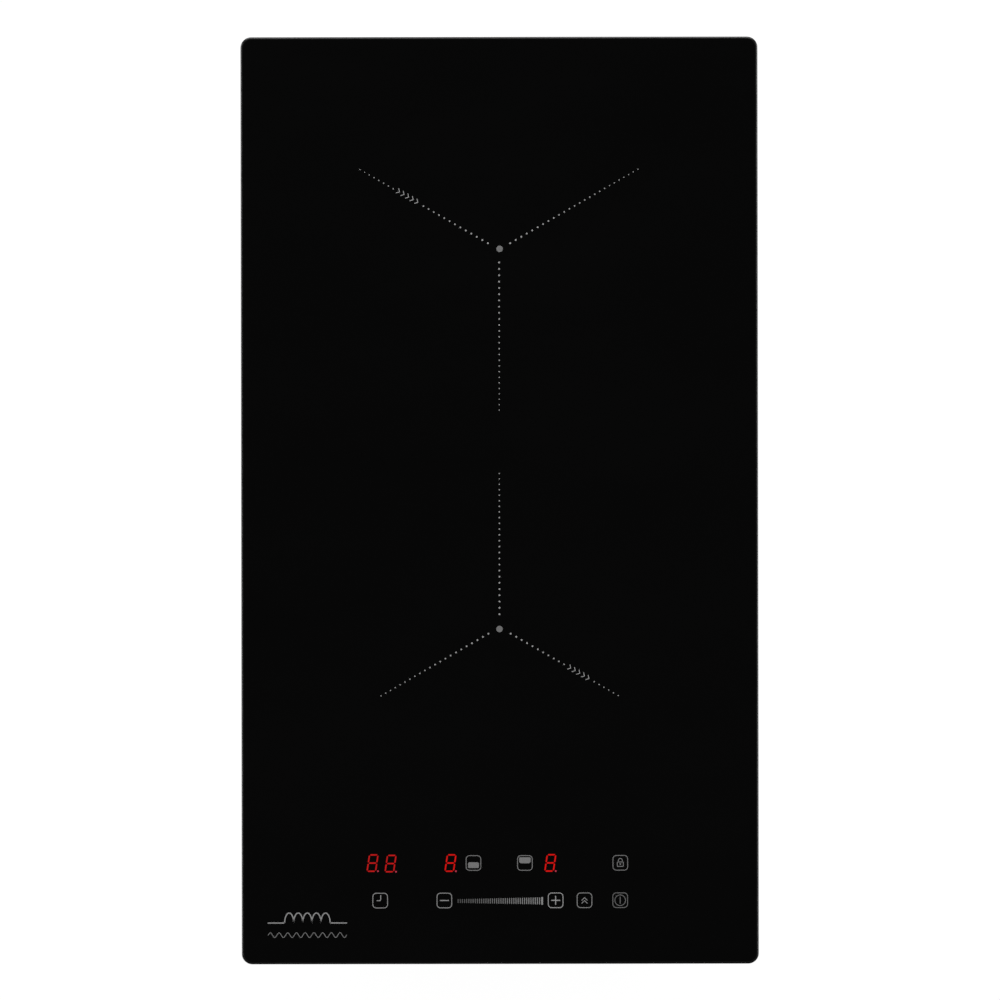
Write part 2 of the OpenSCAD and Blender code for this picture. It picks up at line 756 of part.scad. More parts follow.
module terminal_block() {
    color("#d9d5c8") difference() {
        translate([block_x0, block_y0, chamber_z0]) cube([block_w, block_d, block_h]);
        for (i = [0 : poles - 1]) translate([block_x0 + (i + 0.5) * pole_pitch, block_y0 + block_d + 1, 0])
            rotate([90, 0, 0]) {
                translate([0, block_screw_z, 0]) cylinder(h = 10, r = block_screw_r + 0.1);
                translate([0, chamber_z0 + 4, 0]) cylinder(h = 9, r = 2);
            }
        for (i = [1 : poles - 1])
            translate([block_x0 + i * pole_pitch - 0.6, block_y0 - 1, chamber_z0 + block_h - 3])
                cube([1.2, block_d + 2, 4]);
    }
}

module terminal_screws() {
    color("#b8a05a") for (i = [0 : poles - 1])
        translate([block_x0 + (i + 0.5) * pole_pitch, block_y0 + block_d, block_screw_z])
            rotate([-90, 0, 0]) screw(small_head_r, small_head_h, block_screw_r, 8);
}

// A rubber grommet that snaps into the entry plate and guides the mains cable
module cable_grommet() {
    color("#111112") translate([entry_x, terminal_y1 - entry_plate_t, entry_z]) rotate([-90, 0, 0])
        difference() {
            union() {
                translate([0, 0, -grommet_flange_t]) cylinder(h = grommet_flange_t, r = grommet_flange_r);
                cylinder(h = entry_plate_t, r = grommet_sleeve_r);
                translate([0, 0, entry_plate_t]) cylinder(h = grommet_flange_t, r = grommet_flange_r);
            }
            translate([0, 0, -5]) cylinder(h = entry_plate_t + 10, r = cable_r);
        }
}

// The scroll's outline, drawn in by the wall's thickness where inset is set.
// Three arcs, each wider than the last, run clockwise from the narrow end to the outlet.
module scroll(inset) {
    a = scroll_a - inset;
    h = scroll_step / 2;
    right = blower_right - inset;
    for (q = SCROLL_ARCS) translate([blower_x + q.x * h, blower_y + q.y * h]) intersection() {
        circle(a + q[2] * scroll_step);
        rotate(q[3] - 45) square(a + q[2] * scroll_step);
    }
    // What the arcs enclose in the middle, and the outlet duct
    translate([blower_x - h, blower_y + h - a]) square([right - blower_x + h, a]);
    translate([blower_x - h, blower_y - h]) square([right - blower_x + h, scroll_step]);
    translate([outlet_x + inset, outlet_y]) square([right - outlet_x - inset, blower_y - outlet_y]);
}

module blower_housing() {
    color("#2f3133") difference() {
        union() {
            translate([0, 0, blower_z]) linear_extrude(blower_h - blower_wall) scroll(0);
            for (p = BLOWER_HOLES) translate([p.x, p.y, blower_z])
                cylinder(h = blower_h - blower_wall, r = blower_post_r);
        }
        translate([0, 0, blower_z + blower_wall]) linear_extrude(blower_h) union() {
            scroll(blower_wall);
            translate([outlet_x + blower_wall, outlet_y - 1])
                square([blower_right - outlet_x - 2 * blower_wall, 2]);
        }
        translate([blower_x, blower_y, 0]) cylinder(h = blower_z + blower_wall + 1, r = inlet_r);
        for (p = BLOWER_HOLES) translate([p.x, p.y, cover_z - 12])
            cylinder(h = 13, r = small_screw_r + 0.05);
    }
}

module blower_cover() {
    color("#2f3133") difference() {
        translate([0, 0, cover_z]) linear_extrude(blower_wall) union() {
            scroll(0);
            for (p = BLOWER_HOLES) translate(p) circle(blower_post_r);
        }
        for (p = BLOWER_HOLES) translate([p.x, p.y, cover_z - 1])
            cylinder(h = blower_wall + 2, r = small_screw_r + screw_gap);
        translate([blower_x, blower_y, cover_z - 1]) cylinder(h = blower_wall + 2, r = 6);
    }
}

// The wheel: a hub cup over the motor, a back plate, the blades and their front ring
module impeller() {
    plate = 1.2;
    ring_in = wheel_r - 7;
    color("#e4e4e0") translate([blower_x, blower_y, 0]) difference() {
        union() {
            translate([0, 0, hub_z]) cylinder(h = wheel_top_z - hub_z, r = hub_r);
            translate([0, 0, wheel_top_z - plate]) cylinder(h = plate, r = wheel_r);
            translate([0, 0, wheel_z]) ring(wheel_r, ring_in, plate);
            for (i = [0 : blade_count - 1]) rotate(i * 360 / blade_count)
                translate([ring_in + 0.6, 0, wheel_z + plate / 2]) rotate(38)
                    translate([0, -0.4, 0]) cube([6, 0.8, wheel_top_z - wheel_z - plate]);
        }
        translate([0, 0, hub_z + 1.5]) cylinder(h = wheel_top_z, r = hub_r - hub_wall);
        translate([0, 0, hub_z - 1]) cylinder(h = 5, r = shaft_r - 0.01);
    }
}

// The motor's stator hangs from the blower's cover, and holds the shaft's bearing
module motor_stator() {
    tooth_w = 5;
    core_z0 = hub_z + 3.5;
    core_z1 = cover_z - 2;
    color("#8a5a34") translate([blower_x, blower_y, 0]) difference() {
        union() {
            translate([0, 0, core_z0]) cylinder(h = core_z1 - core_z0, r = 6);
            translate([0, 0, core_z0]) intersection() {
                cylinder(h = core_z1 - core_z0, r = stator_r);
                for (a = [0, 60, 120]) rotate(a) translate([-stator_r - 1, -tooth_w / 2, 0])
                    cube([2 * stator_r + 2, tooth_w, core_z1 - core_z0]);
            }
            translate([0, 0, core_z1]) cylinder(h = cover_z - core_z1, r = stator_r + 1);
        }
        translate([0, 0, core_z0 - 1]) cylinder(h = cover_z - core_z0 + 2, r = shaft_r + shaft_gap);
    }
}

module motor_shaft() {
    color("#d5d7d9") translate([blower_x, blower_y, hub_z]) cylinder(h = cover_z - hub_z - 1, r = shaft_r);
}

// A circuit board between two corners, with its screw holes
module board(a, b, z, holes) {
    difference() {
        translate([(a.x + b.x) / 2, (a.y + b.y) / 2, z]) linear_extrude(board_t)
            round_rect(b.x - a.x, b.y - a.y, 2);
        for (p = holes) translate([p.x, p.y, z - 1]) cylinder(h = board_t + 2, r = small_screw_r + screw_gap);
    }
}

module power_board() {
    color("#2f6b3f") board([-board_x, board_y0], [board_x, board_y1], board_z, POWER_HOLES);
}

module filter_board() {
    color("#2f6b3f") board([filter_x0, filter_y0], [board_x, filter_y1], board_z, FILTER_HOLES);
}

module board_standoffs() {
    color("#c0a860") for (p = concat(POWER_HOLES, FILTER_HOLES)) translate([p.x, p.y, tray_t])
        ring(3.2, small_screw_r + 0.05, standoff_h);
}

// The small screws on the boards, the blower and the transistors
module inner_screws() {
    color("#b9bcbf") {
        for (p = concat(POWER_HOLES, FILTER_HOLES)) translate([p.x, p.y, board_top_z])
            screw(small_head_r, small_head_h, small_screw_r, board_t + standoff_h - 1);
        for (p = BLOWER_HOLES) translate([p.x, p.y, cover_z + blower_wall])
            screw(small_head_r, small_head_h, small_screw_r, blower_wall + 9);
        for (y = concat(device_ys, [bridge_y]))
            translate([lip_x + device_screw_in, y, board_top_z + heat_sink_base + device_h])
                screw(small_head_r, small_head_h, small_screw_r, 8);
    }
}

// An extrusion whose fins stand along the blower's stream, with a lip for the transistors
module heat_sink() {
    pitch = (heat_sink_w - fin_t) / (fin_count - 1);
    color("#b4b7ba") difference() {
        union() {
            translate([heat_sink_x, heat_sink_y1 - heat_sink_l, board_top_z])
                cube([heat_sink_w + lip_w, heat_sink_l, heat_sink_base]);
            for (i = [0 : fin_count - 1])
                translate([heat_sink_x + i * pitch, heat_sink_y1 - heat_sink_l, board_top_z])
                    cube([fin_t, heat_sink_l, heat_sink_h]);
        }
        for (y = concat(device_ys, [bridge_y])) translate([lip_x + device_screw_in, y, board_top_z])
            cylinder(h = heat_sink_base + 1, r = small_screw_r + 0.05);
    }
}

// A flat power device whose tab is screwed to the heat sink's lip
module device(y, w) {
    lead_z = 2;
    lead_t = 0.8;
    lead_w = 1.2;
    reach = 4;
    translate([0, 0, board_top_z + heat_sink_base]) difference() {
        union() {
            block([lip_x + 1, y - w / 2, 0], [lip_x + lip_w - 0.6, y + w / 2, device_h]);
            // Three legs, out over the lip's edge and down to the board
            for (i = [-1 : 1]) translate([lip_x + lip_w, y + i * w / 3 - lead_w / 2, 0]) {
                translate([-1, 0, lead_z]) cube([reach + 1, lead_w, lead_t]);
                translate([reach - lead_t, 0, -heat_sink_base])
                    cube([lead_t, lead_w, heat_sink_base + lead_z + lead_t]);
            }
        }
        translate([lip_x + device_screw_in, y, -1]) cylinder(h = device_h + 3, r = small_screw_r + screw_gap);
    }
}

module power_transistors() {
    color("#1b1b1d") for (y = device_ys) device(y, 16);
}

module rectifier_bridge() {
    color("#161618") device(bridge_y, 26);
}

// A box-shaped part that stands on a board, with a groove round its foot
module boxed(x, y, w, d, h) {
    translate([x, y, board_top_z]) {
        translate([0, 0, 1]) linear_extrude(h - 1) round_rect(w, d, 1.2);
        linear_extrude(1.01) square([w - 1.6, d - 1.6], center = true);
    }
}

module film_capacitors() {
    color("#c9a227") {
        for (i = [0 : 3]) boxed(board_x - 22, board_y1 - 22 - 24 * i, 30, 19, 21);
        for (i = [0, 1]) boxed(board_x - 26, filter_y0 + 26 + 17 * i, 28, 13, 19);
    }
}

module electrolytic_capacitors() {
    color("#26303c") for (i = [0 : 3]) translate([-board_x + 18, board_y0 + 34 + 22 * i, board_top_z]) {
        cylinder(h = 21, r = 8);
        translate([0, 0, 2]) cylinder(h = 1, r = 8.3);
    }
}

// A ring core lying on a foot, wound all round
module toroid(x, y, r, wire) {
    translate([x, y, board_top_z]) {
        translate([0, 0, wire + 1]) rotate_extrude() translate([r, 0]) circle(wire);
        linear_extrude(2) difference() {
            circle(r + wire * 0.6);
            circle(r - wire * 0.6);
        }
    }
}

module chokes() {
    color("#a5653a") for (x = [40, 82]) toroid(x, board_y0 + 34, 13, 5);
}

module filter_choke() {
    color("#b06a3a") toroid(filter_x0 + 24, filter_y0 + 32, 14, 6);
}

module transformer() {
    color("#b8a23c") {
        boxed(-20, board_y0 + 36, 26, 22, 8);
        translate([-20, board_y0 + 36, board_top_z + 8]) linear_extrude(10) round_rect(20, 16, 2);
        translate([-20, board_y0 + 36, board_top_z + 18]) linear_extrude(3) round_rect(26, 22, 1.2);
    }
}

module relay() {
    color("#d8d8d4") boxed(filter_x0 + 58, filter_y0 + 20, 22, 16, 17);
}

module mains_fuse() {
    x = board_x - 16;
    y = filter_y1 - 16;
    color("#cfd2d4") {
        translate([x - 12, y, board_top_z + 5]) rotate([0, 90, 0]) cylinder(h = 24, r = 2.6);
        for (e = [-11, 7]) block([x + e, y - 3.6, board_top_z], [x + e + 4, y + 3.6, board_top_z + 5]);
    }
}

// Direction out of a zone along its leads, and the two leads' places across it
function out_dir(c) = [cos(c[2]), sin(c[2]), 0];
function exit_point(c) = [0, c[0], 0] + (c[1] + exit_past) * out_dir(c);
function lead_place(c, r, k) =
    [0, c[0], 0] + r * out_dir(c) + k * lead_spread * [-sin(c[2]), cos(c[2]), 0];

// Sockets and posts on the boards
module board_connectors() {
    color("#e6e2d6") {
        for (c = [REAR, FRONT], k = [-1, 0, 1])
            translate([post_x, exit_point(c).y + post_pitch * k, board_top_z]) cylinder(h = post_h, r = 3);
        block([block_x0, filter_y1 - 12, board_top_z], [block_x0 + block_w, filter_y1 - 1, wire_z + 5]);
        block([-ribbon_w / 2 - 2, header_y - 3, board_top_z],
            [ribbon_w / 2 + 2, header_y + 3, board_top_z + header_h]);
    }
}

// The plate under the coils, with tabs bent down to the tray's walls
module coil_plate() {
    plate_d = 2 * (in_y - in_corner_r - 2);
    color("#c3c6c9") difference() {
        union() {
            translate([0, 0, plate_z]) linear_extrude(plate_t) round_rect(2 * in_x, plate_d, 2);
            for (s = [-1, 1], y = tab_ys)
                translate([s * (in_x - plate_t / 2), y, plate_z - tab_h / 2])
                    cube([plate_t, tab_l, tab_h + 1], center = true);
        }
        for (s = [-1, 1], y = tab_ys) on_side(s, y, tab_screw_z)
            translate([0, 0, -side_screw_l]) cylinder(h = side_screw_l, r = side_screw_r + 0.05);
        for (c = [REAR, FRONT]) translate(exit_point(c) + [0, 0, plate_z - 1]) rotate(c[2] + 90)
            linear_extrude(plate_t + 2) capsule(26, 10);
        translate([0, ribbon_y, plate_z - 1]) linear_extrude(plate_t + 2)
            square([ribbon_w + 4, 7], center = true);
    }
}

// A ring with a flat-topped ridge for each turn of the wire
module winding(c) {
    n = floor((c[1] - coil_hole_r) / turn_pitch);
    groove = 0.5;
    color("#b5723f") translate([0, c[0], winding_z]) rotate_extrude() polygon(concat(
        [[coil_hole_r, 0]],
        [[c[1], 0]],
        [for (i = [0 : n - 1]) let (r = c[1] - i * turn_pitch) each [
            [r, winding_t * 0.7], [r - groove, winding_t],
            [r - turn_pitch + groove, winding_t],
            if (i < n - 1) [r - turn_pitch, winding_t * 0.7]
        ]],
        [[coil_hole_r, winding_t]]
    ));
}

module mica_disc(c) {
    color("#c8b98a") translate([0, c[0], glass_z - mica_t]) ring(c[1] + 1, sensor_r + 3, mica_t);
}

// A plastic disc with rims and with pockets for the ferrite bars
module coil_carrier(c) {
    r = c[1] + 2;
    plate_bottom = carrier_h - carrier_t;
    color("#3a3a3c") translate([0, c[0], carrier_z]) difference() {
        union() {
            translate([0, 0, plate_bottom]) cylinder(h = carrier_t, r = r);
            ring(r, r - 2, carrier_h);
            ring(sensor_r + 5, sensor_r + 3, carrier_h);
            for (i = [0 : ferrite_count - 1], s = [-1, 1]) rotate((i + 0.5) * 360 / ferrite_count)
                translate([coil_hole_r + 2, s * (ferrite_w / 2 + rib_t / 2 + 0.2) - rib_t / 2, 2])
                    cube([r - coil_hole_r - 4, rib_t, carrier_h - 2]);
            for (a = [0 : 90 : 270]) rotate(a) translate([spring_seat_r, 0, 0])
                cylinder(h = carrier_h, r = spring_r + 2.2);
        }
        translate([0, 0, -1]) cylinder(h = carrier_h + 2, r = sensor_r);
        for (a = [0 : 90 : 270]) rotate(a) translate([spring_seat_r, 0, -1])
            cylinder(h = plate_bottom + 1, r = spring_r + 0.6);
        for (p = [[inner_lead_r, 0], [c[1] - outer_lead_in, 1]])
            translate(lead_place(c, p[0], p[1]) - [0, c[0], 1]) cylinder(h = carrier_h + 2, r = lead_r + 0.5);
    }
}

module ferrites(c) {
    l = c[1] - coil_hole_r - 6;
    color("#2a2a2c") translate([0, c[0], carrier_z + carrier_h - carrier_t - ferrite_t])
        for (i = [0 : ferrite_count - 1]) rotate((i + 0.5) * 360 / ferrite_count)
            translate([coil_hole_r + 4, -ferrite_w / 2, 0]) cube([l, ferrite_w, ferrite_t]);
}

// The temperature sensor, pressed to the glass at the middle of the zone
module sensor(c) {
    color("#e8e4da") translate([0, c[0], 0]) union() {
        translate([0, 0, carrier_z + 1]) cylinder(h = glass_z - carrier_z - 1, r = sensor_r - 0.4);
        translate([0, 0, winding_z]) cylinder(h = 1.5, r = sensor_r + 3);
    }
}

module rear_mica_disc() { mica_disc(REAR); }
module rear_winding() { winding(REAR); }
module rear_coil_carrier() { coil_carrier(REAR); }
module rear_ferrites() { ferrites(REAR); }
module rear_sensor() { sensor(REAR); }
module front_mica_disc() { mica_disc(FRONT); }
module front_winding() { winding(FRONT); }
module front_coil_carrier() { coil_carrier(FRONT); }
module front_ferrites() { ferrites(FRONT); }
module front_sensor() { sensor(FRONT); }

// The springs' envelopes, under the coil carriers and under the control holder
module support_springs() {
    color("#c9ccce") {
        for (c = [REAR, FRONT], a = [0 : 90 : 270])
            translate([spring_seat_r * cos(a), c[0] + spring_seat_r * sin(a), plate_top_z])
                ring(spring_r, spring_r - spring_wire, carrier_z + carrier_h - carrier_t - plate_top_z);
        for (p = CONTROL_SPRINGS) translate([p.x, p.y, plate_top_z])
            ring(spring_r, spring_r - spring_wire, control_floor_z - plate_top_z);
    }
}

// A shallow tub that holds the control board up against the glass
module control_holder() {
    d = control_d;
    rib_h = control_board_z - control_floor_z;
    color("#26262a") translate([0, control_y0 + d / 2, control_floor_z]) difference() {
        linear_extrude(glass_z - control_floor_z) round_rect(control_w, d, 3);
        translate([0, 0, control_wall]) difference() {
            linear_extrude(20) round_rect(control_w - 2 * control_wall, d - 2 * control_wall, 1.5);
            for (x = [-1, -0.5, 0.5, 1]) translate([x * (control_w / 2 - 6) - 1, -d / 2, -1])
                cube([2, d, rib_h - control_wall + 1]);
        }
        translate([-ribbon_w / 2 - 1, d / 2 - control_wall - 1, control_board_z - control_floor_z - 3])
            cube([ribbon_w + 2, control_wall + 2, 5]);
    }
}

module control_board() {
    gap = control_wall + 0.7;
    color("#2a5c38") board([-control_w / 2 + gap, control_y0 + gap],
        [control_w / 2 - gap, control_y0 + control_d - gap], control_board_z, []);
}

module display_modules() {
    color("#1a1414") for (d = DISPLAYS) translate([d[0], upper_y, control_top_z])
        linear_extrude(glass_z - control_top_z - 0.6) round_rect(d[1], digit_h, 0.8);
}

module touch_springs() {
    h = glass_z - control_top_z;
    color("#cfd2d4") {
        for (p = concat([for (x = UPPER_KEYS) [x, upper_y]], [for (x = LOWER_KEYS) [x, lower_y]]))
            translate([p.x, p.y, control_top_z]) ring(touch_spring_r, touch_spring_r - touch_wire, h);
    }
}

// The way from a zone's gate in the coil plate down to its post, number k across
function way_down(c, k) =
    let (gate = lead_place(c, c[1] + exit_past, k),
        post = [post_x, exit_point(c).y + post_pitch * k, 0])
    [gate + [0, 0, lead_run_z - 1], gate + [0, 0, plate_z - 3],
        post + [0, 0, post_z + 7], post + [0, 0, post_z + 3], post + [0, 0, post_z]];

// Each coil's two leads: down from the winding, out under the carrier, and down to their posts
module coil_leads() {
    color("#d8c07a") for (c = [REAR, FRONT]) {
        inner = lead_place(c, inner_lead_r, 0);
        outer = lead_place(c, c[1] - outer_lead_in, 1);
        tube(route(concat(
            [inner + [0, 0, winding_z], inner + [0, 0, carrier_z - 0.5],
                inner + 5 * out_dir(c) + [0, 0, lead_run_z], lead_place(c, c[1] - 8, 0) + [0, 0, lead_run_z]],
            way_down(c, 0)), 4), lead_r);
        tube(route(concat(
            [outer + [0, 0, winding_z], outer + [0, 0, carrier_z - 0.5]],
            way_down(c, 1)), 4), lead_r);
    }
}

// The sensors' thin leads, which run beside the coil leads
module sensor_leads() {
    color("#e9e6df") for (c = [REAR, FRONT]) {
        start = [0, c[0], 0];
        tube(route(concat(
            [start + [0, 0, carrier_z + 1], start + [0, 0, carrier_z - 1],
                lead_place(c, 14, -1) + [0, 0, lead_run_z], lead_place(c, c[1] - 8, -1) + [0, 0, lead_run_z]],
            way_down(c, -1)), 4), sensor_lead_r, 6);
    }
}

module mains_wires() {
    color("#7a4a2a") for (i = [0 : poles - 1])
        translate([block_x0 + (i + 0.5) * pole_pitch, filter_y1 - 1, wire_z]) rotate([-90, 0, 0])
            cylinder(h = block_y0 - filter_y1 + 1, r = wire_r);
}

// A flat cable: out of the control holder, round a bend, down, and round to the header
module ribbon_cable() {
    top_z = control_board_z;
    y_in = control_y0 + control_d - control_wall - 2;
    low_z = board_top_z + header_h + ribbon_bend + ribbon_t;
    b = ribbon_bend;
    t = ribbon_t;
    color("#8d8f93") translate([-ribbon_w / 2, 0, 0]) rotate([90, 0, 90]) linear_extrude(ribbon_w) union() {
        translate([y_in, top_z - t]) square([ribbon_y + t / 2 - b - t - y_in, t]);
        translate([ribbon_y + t / 2 - b - t, top_z - b - t]) quarter(b, t, 0);
        translate([ribbon_y - t / 2, low_z]) square([t, top_z - b - t - low_z]);
        translate([ribbon_y + t / 2 + b, low_z]) quarter(b, t, 180);
        translate([ribbon_y + t / 2 + b, low_z - b - t]) square([header_y - ribbon_y - b - t, t]);
        translate([header_y - t / 2, board_top_z + header_h]) square([t, low_z - b - board_top_z - header_h]);
    }
}

glass_panel();
edge_seal();
silicone_beads();
left_rail();
right_rail();
front_rail();
rear_rail();
base_tray();
side_screws();
front_left_bracket();
front_right_bracket();
rear_left_bracket();
rear_right_bracket();
bracket_screws();
bracket_nuts();
terminal_box();
terminal_cover();
terminal_block();
terminal_screws();
cable_grommet();
blower_housing();
blower_cover();
impeller();
motor_stator();
motor_shaft();
power_board();
heat_sink();
power_transistors();
rectifier_bridge();
film_capacitors();
electrolytic_capacitors();
chokes();
transformer();
board_connectors();
filter_board();
filter_choke();
relay();
mains_fuse();
board_standoffs();
inner_screws();
coil_plate();
rear_mica_disc();
rear_winding();
rear_coil_carrier();
rear_ferrites();
rear_sensor();
front_mica_disc();
front_winding();
front_coil_carrier();
front_ferrites();
front_sensor();
support_springs();
control_holder();
control_board();
display_modules();
touch_springs();
coil_leads();
sensor_leads();
mains_wires();
ribbon_cable();
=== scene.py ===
"""The looks of a narrow built-in induction cooktop: the black glass with its print and lit digits,
and the finish of every part under it. Lengths are in millimetres unless a name says otherwise."""
import math

import bpy
import numpy as np
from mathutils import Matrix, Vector


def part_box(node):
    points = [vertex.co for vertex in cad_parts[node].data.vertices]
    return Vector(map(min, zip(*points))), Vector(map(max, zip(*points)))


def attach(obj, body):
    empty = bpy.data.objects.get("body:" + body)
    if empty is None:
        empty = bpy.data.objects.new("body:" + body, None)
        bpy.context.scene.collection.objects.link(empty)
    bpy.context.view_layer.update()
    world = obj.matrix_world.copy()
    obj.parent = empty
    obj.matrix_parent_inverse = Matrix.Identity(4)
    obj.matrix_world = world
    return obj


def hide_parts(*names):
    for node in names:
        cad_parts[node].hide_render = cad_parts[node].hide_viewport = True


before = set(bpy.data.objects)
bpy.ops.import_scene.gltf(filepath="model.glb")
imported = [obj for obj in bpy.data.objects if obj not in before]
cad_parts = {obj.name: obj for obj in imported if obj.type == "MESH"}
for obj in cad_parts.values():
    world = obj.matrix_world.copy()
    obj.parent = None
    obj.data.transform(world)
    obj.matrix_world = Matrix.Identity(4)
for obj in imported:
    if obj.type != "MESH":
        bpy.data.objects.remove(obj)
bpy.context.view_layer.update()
MM = 0.001


def mm_box(node):
    """Lowest and highest corner of a CAD node, in millimetres."""
    low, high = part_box(node)
    return np.array(low) / MM, np.array(high) / MM


# ---------------------------------------------------------------- driving places and sizes

glass_low, glass_high = mm_box("glass_panel")
GLASS_W, GLASS_D, GLASS_T = glass_high - glass_low
FRONT_EDGE = glass_low[1]
CORNER_R = 6.0
BEVEL = 1.2
INK = 0.03  # thickness of the printed layer, which takes the glass up to the CAD's height
INK_FOOT = 0.02  # how far a printed shape reaches down into the glass
INK_TOP = glass_high[2]
GLASS_TOP = INK_TOP - INK


def zone_centre(name):
    """Middle of a zone in plan, from its mica disc."""
    low, high = mm_box(name + "_mica_disc")
    return (low[:2] + high[:2]) / 2


REAR_ZONE = zone_centre("rear")
FRONT_ZONE = zone_centre("front")
UPPER_KEYS_Y = FRONT_EDGE + 56.7
LOWER_KEYS_Y = FRONT_EDGE + 35.7
KEY_SIZE = 8.65
KEY_R = 2.1
KEY_LINE = 0.41
DOT_R = 0.51  # the dots' radius next to the middle of a star

# ---------------------------------------------------------------- surfaces from arrays


class Form:
    """The points and faces of one piece, gathered from several closed surfaces."""

    def __init__(self):
        self.points = []
        self.faces = []
        self.count = 0

    def add(self, points, faces):
        """Takes in more points, and faces that number them from 0."""
        points = np.asarray(points, float).reshape(-1, 3)
        self.faces += [[i + self.count for i in face] for face in faces]
        self.points.append(points)
        self.count += len(points)
        return self

    def rings(self, rings, ends=True, loop=False):
        """A skin over rings of points, shape (rings, points, 3), each closed on itself.
        Rings that run anticlockwise and upwards face out. ends closes the first and last with a face."""
        rings = np.asarray(rings, float)
        n, k = rings.shape[:2]
        a, b = np.meshgrid(np.arange(n if loop else n - 1), np.arange(k), indexing="ij")
        up, on = (a + 1) % n, (b + 1) % k
        faces = np.stack([a * k + b, a * k + on, up * k + on, up * k + b], -1).reshape(-1, 4).tolist()
        if ends and not loop:
            faces += [list(range(k))[::-1], list(range((n - 1) * k, n * k))]
        return self.add(rings, faces)

    def prism(self, outline, z0, z1):
        """An anticlockwise outline in plan, raised from z0 to z1."""
        outline = np.asarray(outline, float)
        levels = [np.column_stack([outline, np.full(len(outline), z)]) for z in (z0, z1)]
        return self.rings(levels)

    def band(self, outer, inner, z0, z1):
        """What lies between two outlines with as many points, from z0 to z1."""
        steps = [(outer, z0), (outer, z1), (inner, z1), (inner, z0)]
        rings = [np.column_stack([line, np.full(len(line), z)]) for line, z in steps]
        return self.rings(rings, loop=True)

    def mesh(self, name, finish, body="body", slot=None, replaces=(), smooth=None):
        """The piece as a Blender object that rides on a body. smooth is the angle that stays sharp."""
        data = bpy.data.meshes.new(name)
        data.from_pydata((np.concatenate(self.points) * MM).tolist(), [], self.faces)
        data.validate()
        if smooth is not None:
            data.polygons.foreach_set("use_smooth", np.ones(len(data.polygons), bool))
            data.set_sharp_from_angle(angle=math.radians(smooth))
        data.materials.append(finish)
        piece = bpy.data.objects.new(name, data)
        bpy.context.scene.collection.objects.link(piece)
        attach(piece, body)
        if replaces:
            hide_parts(*replaces)
        return piece


def arc(x, y, r, a0, a1, steps):
    """Points on a circle's arc from the angle a0 to a1, in degrees, ends included."""
    a = np.radians(np.linspace(a0, a1, steps))
    return np.column_stack([x + r * np.cos(a), y + r * np.sin(a)])


def disc(x, y, r, sides=24):
    """A circle's outline, anticlockwise."""
    return arc(x, y, r, 0, 360 * (1 - 1 / sides), sides)


def round_rect(x, y, w, h, r, steps=6):
    """A rectangle's outline with round corners; r is one radius, or four from the upper right corner on,
    anticlockwise."""
    radii = np.broadcast_to(r, 4)
    signs = [(1, 1), (-1, 1), (-1, -1), (1, -1)]
    return np.concatenate([
        arc(x + sx * (w / 2 - q), y + sy * (h / 2 - q), q, 90 * i, 90 * i + 90, steps)
        for i, ((sx, sy), q) in enumerate(zip(signs, radii))
    ])


def turned(points, angle, centre=(0, 0)):
    """Points in plan, turned by an angle in degrees about the origin and then moved to centre."""
    c, s = math.cos(math.radians(angle)), math.sin(math.radians(angle))
    return np.asarray(points, float) @ np.array([[c, s], [-s, c]]) + centre


def stroke(points, width, steps=5):
    """The outline of a line of some width through points in plan, mitred, with round ends.
    Each side is the line moved along its normals, and each end is a half circle."""
    p = np.asarray(points, float)
    along = np.diff(p, axis=0)
    along /= np.linalg.norm(along, axis=1, keepdims=True)
    normal = np.column_stack([-along[:, 1], along[:, 0]])
    first = np.vstack([normal[:1], normal])
    last = np.vstack([normal, normal[-1:]])
    mitre = first + last
    mitre /= (mitre * first).sum(1, keepdims=True)
    side = mitre * width / 2
    heading = [math.degrees(math.atan2(v[1], v[0])) for v in (along[-1], along[0])]
    tip = arc(*p[-1], width / 2, heading[0] - 90, heading[0] + 90, steps)
    tail = arc(*p[0], width / 2, heading[1] + 90, heading[1] + 270, steps)
    return np.concatenate([tip, (p + side)[-2:0:-1], tail, (p - side)[1:-1]])


# ---------------------------------------------------------------- materials


class Value:
    """A number that varies over a surface. Arithmetic on it adds Math nodes to its material."""

    def __init__(self, finish, socket):
        self.finish = finish
        self.socket = socket

    def _math(self, operation, *values):
        return self.finish.node("ShaderNodeMath", {"operation": operation}, dict(enumerate(values)))

    def __add__(self, other):
        return self._math("ADD", self, other)

    def __sub__(self, other):
        return self._math("SUBTRACT", self, other)

    def __rsub__(self, other):
        return self._math("SUBTRACT", other, self)

    def __mul__(self, other):
        return self._math("MULTIPLY", self, other)

    def __truediv__(self, other):
        return self._math("DIVIDE", self, other)

    def __gt__(self, other):
        return self._math("GREATER_THAN", self, other)

    __radd__ = __add__
    __rmul__ = __mul__

    def fraction(self):
        return self._math("FRACT", self)

    def size(self):
        return self._math("ABSOLUTE", self)

    def most(self, other):
        return self._math("MAXIMUM", self, other)


